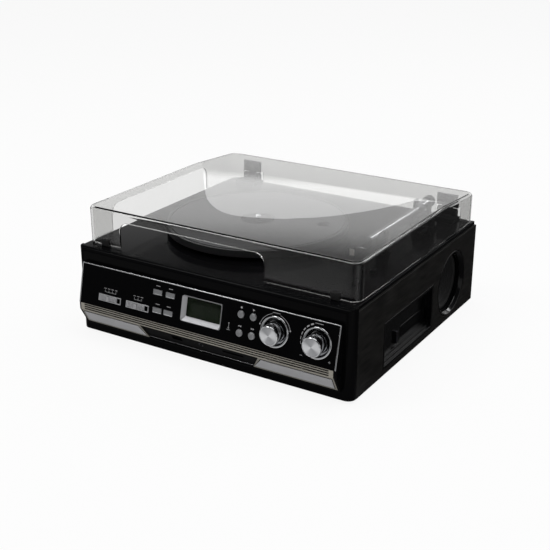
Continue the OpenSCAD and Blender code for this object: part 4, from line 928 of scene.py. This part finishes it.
finish_node("tonearm_base", gloss_abs, edge=0.5)
for node, edge in (("headshell", 0.5), ("tonearm_yoke", 0.5), ("arm_rest", 0.6), ("lift_lever", 0.4),
                   ("speed_selector", 0.5), ("auto_stop_switch", 0.5)):
    finish_node(node, satin_abs, edge)

low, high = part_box("headshell")
STYLUS_Y = low.y / MM + 10
shape = bmesh.new()
plate(shape, corners(-4.1, -4.2, 4.1, 12.2), 120.4, 129.9, at(ARM_X, STYLUS_Y, 0), edge=0.2)
add_piece("cartridge", shape, nylon("ivory ABS", "#cfccc4"), "arm", "satin_black")

LIFT_SECTION, LIFT_STEPS, LIFT_Z = corners(-1.4, -0.4, 1.4, 0.4), 12, 131.2
shape = bmesh.new()
rings = []
for k in range(LIFT_STEPS + 1):
    t = k / LIFT_STEPS
    x, y, z = ARM_X + 6.3 + 9 * t, STYLUS_Y - 4 - 3 * t * t, LIFT_Z - 2 * t + 3 * t * t
    rings.append([shape.verts.new(Vector((x, y + dy, z + dz)) * MM) for dy, dz in LIFT_SECTION])
join_rings(shape, rings)
shape.faces.new(rings[0])
shape.faces.new(rings[-1])
add_piece("finger_lift", shape, ground_steel, "arm", "bright_metal")


# ---- Dust lid ----
# One moulding of clear polystyrene, 2.5 mm thick, with two cut-outs for the edge of a large record.
# The cut edges catch the light as thin bright lines; the faces give a soft grey veil.

FLOW_LINES = 83.3
clear_styrene = grained("clear polystyrene", FLOW_LINES, 2.0, ("#dbdbda",), (0.0, 0.015),
                        relief=(0.01, 0.3), more={"IOR": 1.32, "Transmission Weight": 1.0})

LID_WALL, LID_CORNER, LID_EDGE = 2.5, 12.0, 4.0
CREASE_Y, REAR_TOP = 75.75, 139.5
CUT_W, CUT_TOP, CUT_R = 188.0, 134.0, 11.0
lid_low, lid_high = (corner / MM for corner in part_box("dust_lid"))


def lid_ring(shape, inset, drop=None):
    """A level round the lid, inset from its outside: its lower edge, or drop below the top surface"""
    x, y0, y1 = lid_high.x - inset, lid_low.y + inset, lid_high.y - inset
    r = LID_CORNER - inset
    points = []
    for cx, cy, start in ((x - r, y1 - r, 0), (r - x, y1 - r, 90), (r - x, y0 + r, 180),
                          (x - r, y0 + r, 270)):
        if start in (0, 180):
            points.append((x if start == 0 else -x, CREASE_Y))
        points += [(cx + u, cy + w) for u, w in (polar(r, a) for a in range(start, start + 91, 10))]
    ring = []
    for px, py in points:
        past = max(0.0, (py - CREASE_Y) / (lid_high.y - CREASE_Y))
        z = lid_low.z if drop is None else lid_high.z - past * (lid_high.z - REAR_TOP) - drop
        ring.append(shape.verts.new(Vector((px, py, z)) * MM))
    return ring


def lid_skin(shape, less):
    """The lid's outer skin, or its inner one when less is its wall. Returns its lower edge"""
    edge = LID_EDGE - less
    rings = [lid_ring(shape, less)]
    for u, w in (polar(edge, a) for a in range(0, 91, 15)):
        rings.append(lid_ring(shape, less + edge - u, less + edge - w))
    join_rings(shape, rings)
    half = len(rings[0]) // 2
    shape.faces.new(rings[-1][:half + 1])
    shape.faces.new([*rings[-1][half:], rings[-1][0]])
    return rings[0]


def rounded_arch(half, bottom, top, radius):
    """The outline of a cut-out: square below, with round upper corners"""
    points = [(-half, bottom), (half, bottom)]
    for side, start in ((1, 0), (-1, 90)):
        points += [(side * (half - radius) + u, top - radius + w)
                   for u, w in (polar(radius, a) for a in range(start, start + 91, 10))]
    return points


shape = bmesh.new()
join_rings(shape, [lid_skin(shape, 0), lid_skin(shape, LID_WALL)])
lid = add_piece("lid_moulding", shape, clear_styrene, "lid", "clear_plastic", "dust_lid")
arch = rounded_arch(CUT_W / 2, lid_low.z - 6, CUT_TOP, CUT_R)
PLATTER_X, PLATTER_Y = -31.0, 5.25
HINGE_X, NOTCH_HALF, NOTCH_TOP = 139.0, 15.0, 118.0
FACING_LEFT = Matrix(((0, 0, -1, 0), (1, 0, 0, 0), (0, 1, 0, 0), (0, 0, 0, 1)))
front_cut, left_cut, hinge_cuts = bmesh.new(), bmesh.new(), bmesh.new()
plate(front_cut, arch, -5, 8, at(PLATTER_X, lid_low.y + LID_WALL + 3, 0, 90), edge=0)
plate(left_cut, arch, -5, 8, at(lid_low.x + LID_WALL + 3, PLATTER_Y, 0) @ FACING_LEFT, edge=0)
for x in (-HINGE_X, HINGE_X):
    plate(hinge_cuts, corners(x - NOTCH_HALF, lid_low.z - 6, x + NOTCH_HALF, NOTCH_TOP), -8, 4,
          at(0, lid_high.y - LID_WALL - 2, 0, 90), edge=0)
for shape in (front_cut, left_cut, hinge_cuts):
    cut_away(lid, shape)
edge_round = lid.modifiers.new("polished cut edges", "BEVEL")
edge_round.width = 0.45 * MM
edge_round.segments = 2
edge_round.limit_method = "ANGLE"
edge_round.angle_limit = math.radians(50)
lid.data.shade_smooth()
lid.data.set_sharp_from_angle(angle=math.radians(40))
lid.modifiers.new("even shading", "WEIGHTED_NORMAL").keep_sharp = True
lid.visible_shadow = False
lid.visible_diffuse = False


# ---- Hinges and bumpers ----
# Black ABS hinges, with their bases screwed to the deck and their leaves pushed on to the lid, and
# two rubber bumpers under the lid's front edge.

finish_node("hinge_bases", satin_abs, edge=0.4)
finish_node("hinge_leaves", satin_abs, edge=0.3)
finish_node("lid_bumpers", rubber, edge=0.9, segments=3)


# ---- Studio ----
# A pale floor that runs out to white, a white card behind and to the left whose reflection lies
# on the lid, a large soft lamp overhead and weaker ones in front and behind. The camera sees white
# all round, and polished faces see a darker room above a bright low wall.

def rays(tree):
    """The light path, if a ray is seen straight or through the lid, and if it then met few walls.
    The last shows the white sweep to light that bounced inside the lid, so its edges look pale"""
    path = add(tree, "LightPath")
    seen = add(tree, "Math", {
        0: path.outputs["Is Camera Ray"], 1: path.outputs["Is Transmission Ray"]}, operation="MAXIMUM")
    few_walls = add(tree, "Math", {0: path.outputs["Transmission Depth"], 1: 2.5}, operation="LESS_THAN")
    within = add(tree, "Math", {0: few_walls, 1: path.outputs["Is Transmission Ray"]}, operation="MULTIPLY")
    return path, seen, within


world = bpy.data.worlds.new("white sweep")
bpy.context.scene.world = world
world.use_nodes = True
tree = world.node_tree
tree.nodes.clear()
path, seen, within = rays(tree)
first_glossy = add(tree, "Math", {
    0: 1.0, 1: path.outputs["Glossy Depth"]}, operation="SUBTRACT", use_clamp=True)
shown = add(tree, "Math", {0: seen, 1: first_glossy}, operation="MULTIPLY")
direction = add(tree, "TexCoord").outputs["Generated"]
split = add(tree, "SeparateXYZ", {"Vector": direction})
low_wall = add(tree, "MapRange", {
    "Value": split.outputs["Z"], "From Min": 0.31, "From Max": 0.37, "To Min": 1.0, "To Max": 0.12},
    interpolation_type="SMOOTHSTEP")
behind = add(tree, "MapRange", {
    "Value": split.outputs["Y"], "From Min": -0.1, "From Max": 0.5, "To Min": 0.4, "To Max": 1.1})
leftward = add(tree, "MapRange", {
    "Value": split.outputs["X"], "From Min": -0.45, "From Max": -0.62, "To Min": 1.0, "To Max": 1.1})
wall_light = add(tree, "Math", {0: behind, 1: leftward}, operation="MULTIPLY")
room = add(tree, "Math", {0: low_wall, 1: wall_light}, operation="MULTIPLY")
gloss = add(tree, "Mix", {"Factor": path.outputs["Is Glossy Ray"], 2: 0.42, 3: room}, data_type="FLOAT")
high_up = add(tree, "MapRange", {"Value": split.outputs["Z"], "From Min": 0.42, "From Max": 0.5})
edge_share = add(tree, "Math", {0: within, 1: high_up}, operation="MULTIPLY")
gloss = add(tree, "Mix", {"Factor": edge_share, 2: gloss, 3: 0.85}, data_type="FLOAT")
level = add(tree, "Mix", {"Factor": shown, 2: gloss, 3: 1.0}, data_type="FLOAT")
background = add(tree, "Background", {"Color": (1.0, 1.0, 1.0, 1.0), "Strength": level})
add(tree, "OutputWorld", {"Surface": background})

floor_paper, tree = material_tree("pale floor paper")
path, seen, within = rays(tree)
bounced = add(tree, "Math", {0: path.outputs["Glossy Depth"], 1: 1.0}, operation="MINIMUM")
straight = add(tree, "Math", {0: seen, 1: bounced}, operation="SUBTRACT", use_clamp=True)
mirrored = add(tree, "Math", {0: path.outputs["Is Glossy Ray"], 1: bounced}, operation="MULTIPLY")
lit = add(tree, "Math", {0: straight, 1: 0.9}, operation="MULTIPLY")
share = add(tree, "Math", {0: lit, 1: mirrored}, operation="MAXIMUM")
spot = add(tree, "SeparateXYZ", {"Vector": add(tree, "TexCoord").outputs["Object"]})
# Polished faces see the floor dark, except for a painted pool of light in a band just in front of the object
near_front = add(tree, "MapRange", {
    "Value": spot.outputs["Y"], "From Min": -0.46, "From Max": -0.3, "To Min": 0.12, "To Max": 0.75})
past_front = add(tree, "MapRange", {
    "Value": spot.outputs["Y"], "From Min": -0.24, "From Max": -0.08, "To Min": 1.0, "To Max": 0.06})
painted_light_pool = add(tree, "Math", {0: near_front, 1: past_front}, operation="MULTIPLY")
left_part = add(tree, "MapRange", {
    "Value": spot.outputs["X"], "From Min": 0.1, "From Max": 0.25, "To Min": 0.9, "To Max": 0.0})
rim_share = add(tree, "Math", {0: within, 1: left_part}, operation="MULTIPLY")
lifted = add(tree, "Math", {0: painted_light_pool, 1: rim_share}, operation="MAXIMUM")
level = add(tree, "Mix", {"Factor": mirrored, 2: 1.0, 3: lifted}, data_type="FLOAT")
pale = add(tree, "BsdfDiffuse", {"Color": colour("#e6e6e6")})
white = add(tree, "Emission", {"Color": (1.0, 1.0, 1.0, 1.0), "Strength": level})
blend = add(tree, "MixShader", {0: share, 1: pale, 2: white})
add(tree, "OutputMaterial", {"Surface": blend})

FLOOR_HALF = 30.0


def studio_sheet(name, shape, material):
    """A sheet of the studio, which isn't part of the object"""
    mesh = bpy.data.meshes.new(name)
    shape.to_mesh(mesh)
    shape.free()
    mesh.materials.append(material)
    sheet = bpy.data.objects.new(name, mesh)
    bpy.context.collection.objects.link(sheet)
    return sheet


shape = bmesh.new()
bmesh.ops.create_grid(shape, x_segments=4, y_segments=4, size=FLOOR_HALF)
studio_sheet("floor", shape, floor_paper)

card_white, tree = material_tree("white card")
height = add(tree, "SeparateXYZ", {"Vector": add(tree, "TexCoord").outputs["Object"]})
fade = add(tree, "MapRange", {
    "Value": height.outputs["Z"], "From Min": 3.95, "From Max": 4.25, "To Min": 0.9, "To Max": 2.5},
    interpolation_type="SMOOTHSTEP")
white = add(tree, "Emission", {"Color": (1.0, 1.0, 1.0, 1.0), "Strength": fade})
add(tree, "OutputMaterial", {"Surface": white})
# The card's outline, in degrees to the left of straight behind and above the floor
CARD_FAR, CARD_ROUND, CARD_FOOT, CARD_SHOULDER, CARD_FALL = 16.0, 1.8, 1.0, 16.75, 0.03
CARD_LEFT, CARD_RIGHT, CARD_TOP, CARD_PEAK = 35.8, 10.0, 18.65, 32.5
outline = [(CARD_RIGHT, CARD_FOOT)]
for k in range(31):
    az = CARD_RIGHT + (CARD_LEFT - CARD_ROUND - CARD_RIGHT) * k / 30
    outline.append((az, CARD_TOP - CARD_FALL * (az - CARD_PEAK) ** 2))
outline += [(CARD_LEFT - CARD_ROUND + u, CARD_SHOULDER + w)
            for u, w in (polar(CARD_ROUND, a) for a in range(75, -1, -15))]
outline.append((CARD_LEFT, CARD_FOOT))


def heading(az, el):
    """The direction at az degrees to the left of straight behind and el degrees up"""
    az, el = math.radians(az), math.radians(el)
    return Vector((-math.sin(az) * math.cos(el), math.cos(az) * math.cos(el), math.sin(el)))


shape = bmesh.new()
shape.faces.new([shape.verts.new(heading(az, el) * CARD_FAR) for az, el in outline])
card = studio_sheet("card", shape, card_white)
card.visible_camera = False
card.visible_diffuse = False
card.visible_transmission = False
card.visible_shadow = False


def soft_lamp(name, place, target, width, watts):
    """A square soft lamp that faces the object"""
    data = bpy.data.lights.new(name, "AREA")
    data.shape = "SQUARE"
    data.size = width
    data.energy = watts
    lamp = bpy.data.objects.new(name, data)
    bpy.context.collection.objects.link(lamp)
    lamp.location = place
    lamp.rotation_mode = "QUATERNION"
    lamp.rotation_quaternion = (Vector(target) - Vector(place)).to_track_quat("-Z", "Y")
    lamp.visible_camera = False


soft_lamp("overhead", (0.3, 0.2, 2.2), (0, 0, 0.1), 1.8, 26)
soft_lamp("front", (-1.15, -0.95, 1.9), (0, 0, 0.1), 0.8, 12)
soft_lamp("rim", (0.95, 2.0, 1.3), (0, 0, 0.15), 0.6, 7)

camera_data = bpy.data.cameras.new("camera")
camera_data.sensor_width = 36.0
camera_data.lens = 68.08
camera = bpy.data.objects.new("camera", camera_data)
bpy.context.collection.objects.link(camera)
CAMERA_AZ, CAMERA_EL = 31.70, 21.82
camera.location = Vector((588.9, -961.05, 505.0)) * MM
camera.rotation_mode = "QUATERNION"
camera.rotation_quaternion = heading(CAMERA_AZ, -CAMERA_EL).to_track_quat("-Z", "Y")
bpy.context.scene.camera = camera
bpy.context.scene.view_settings.view_transform = "Standard"
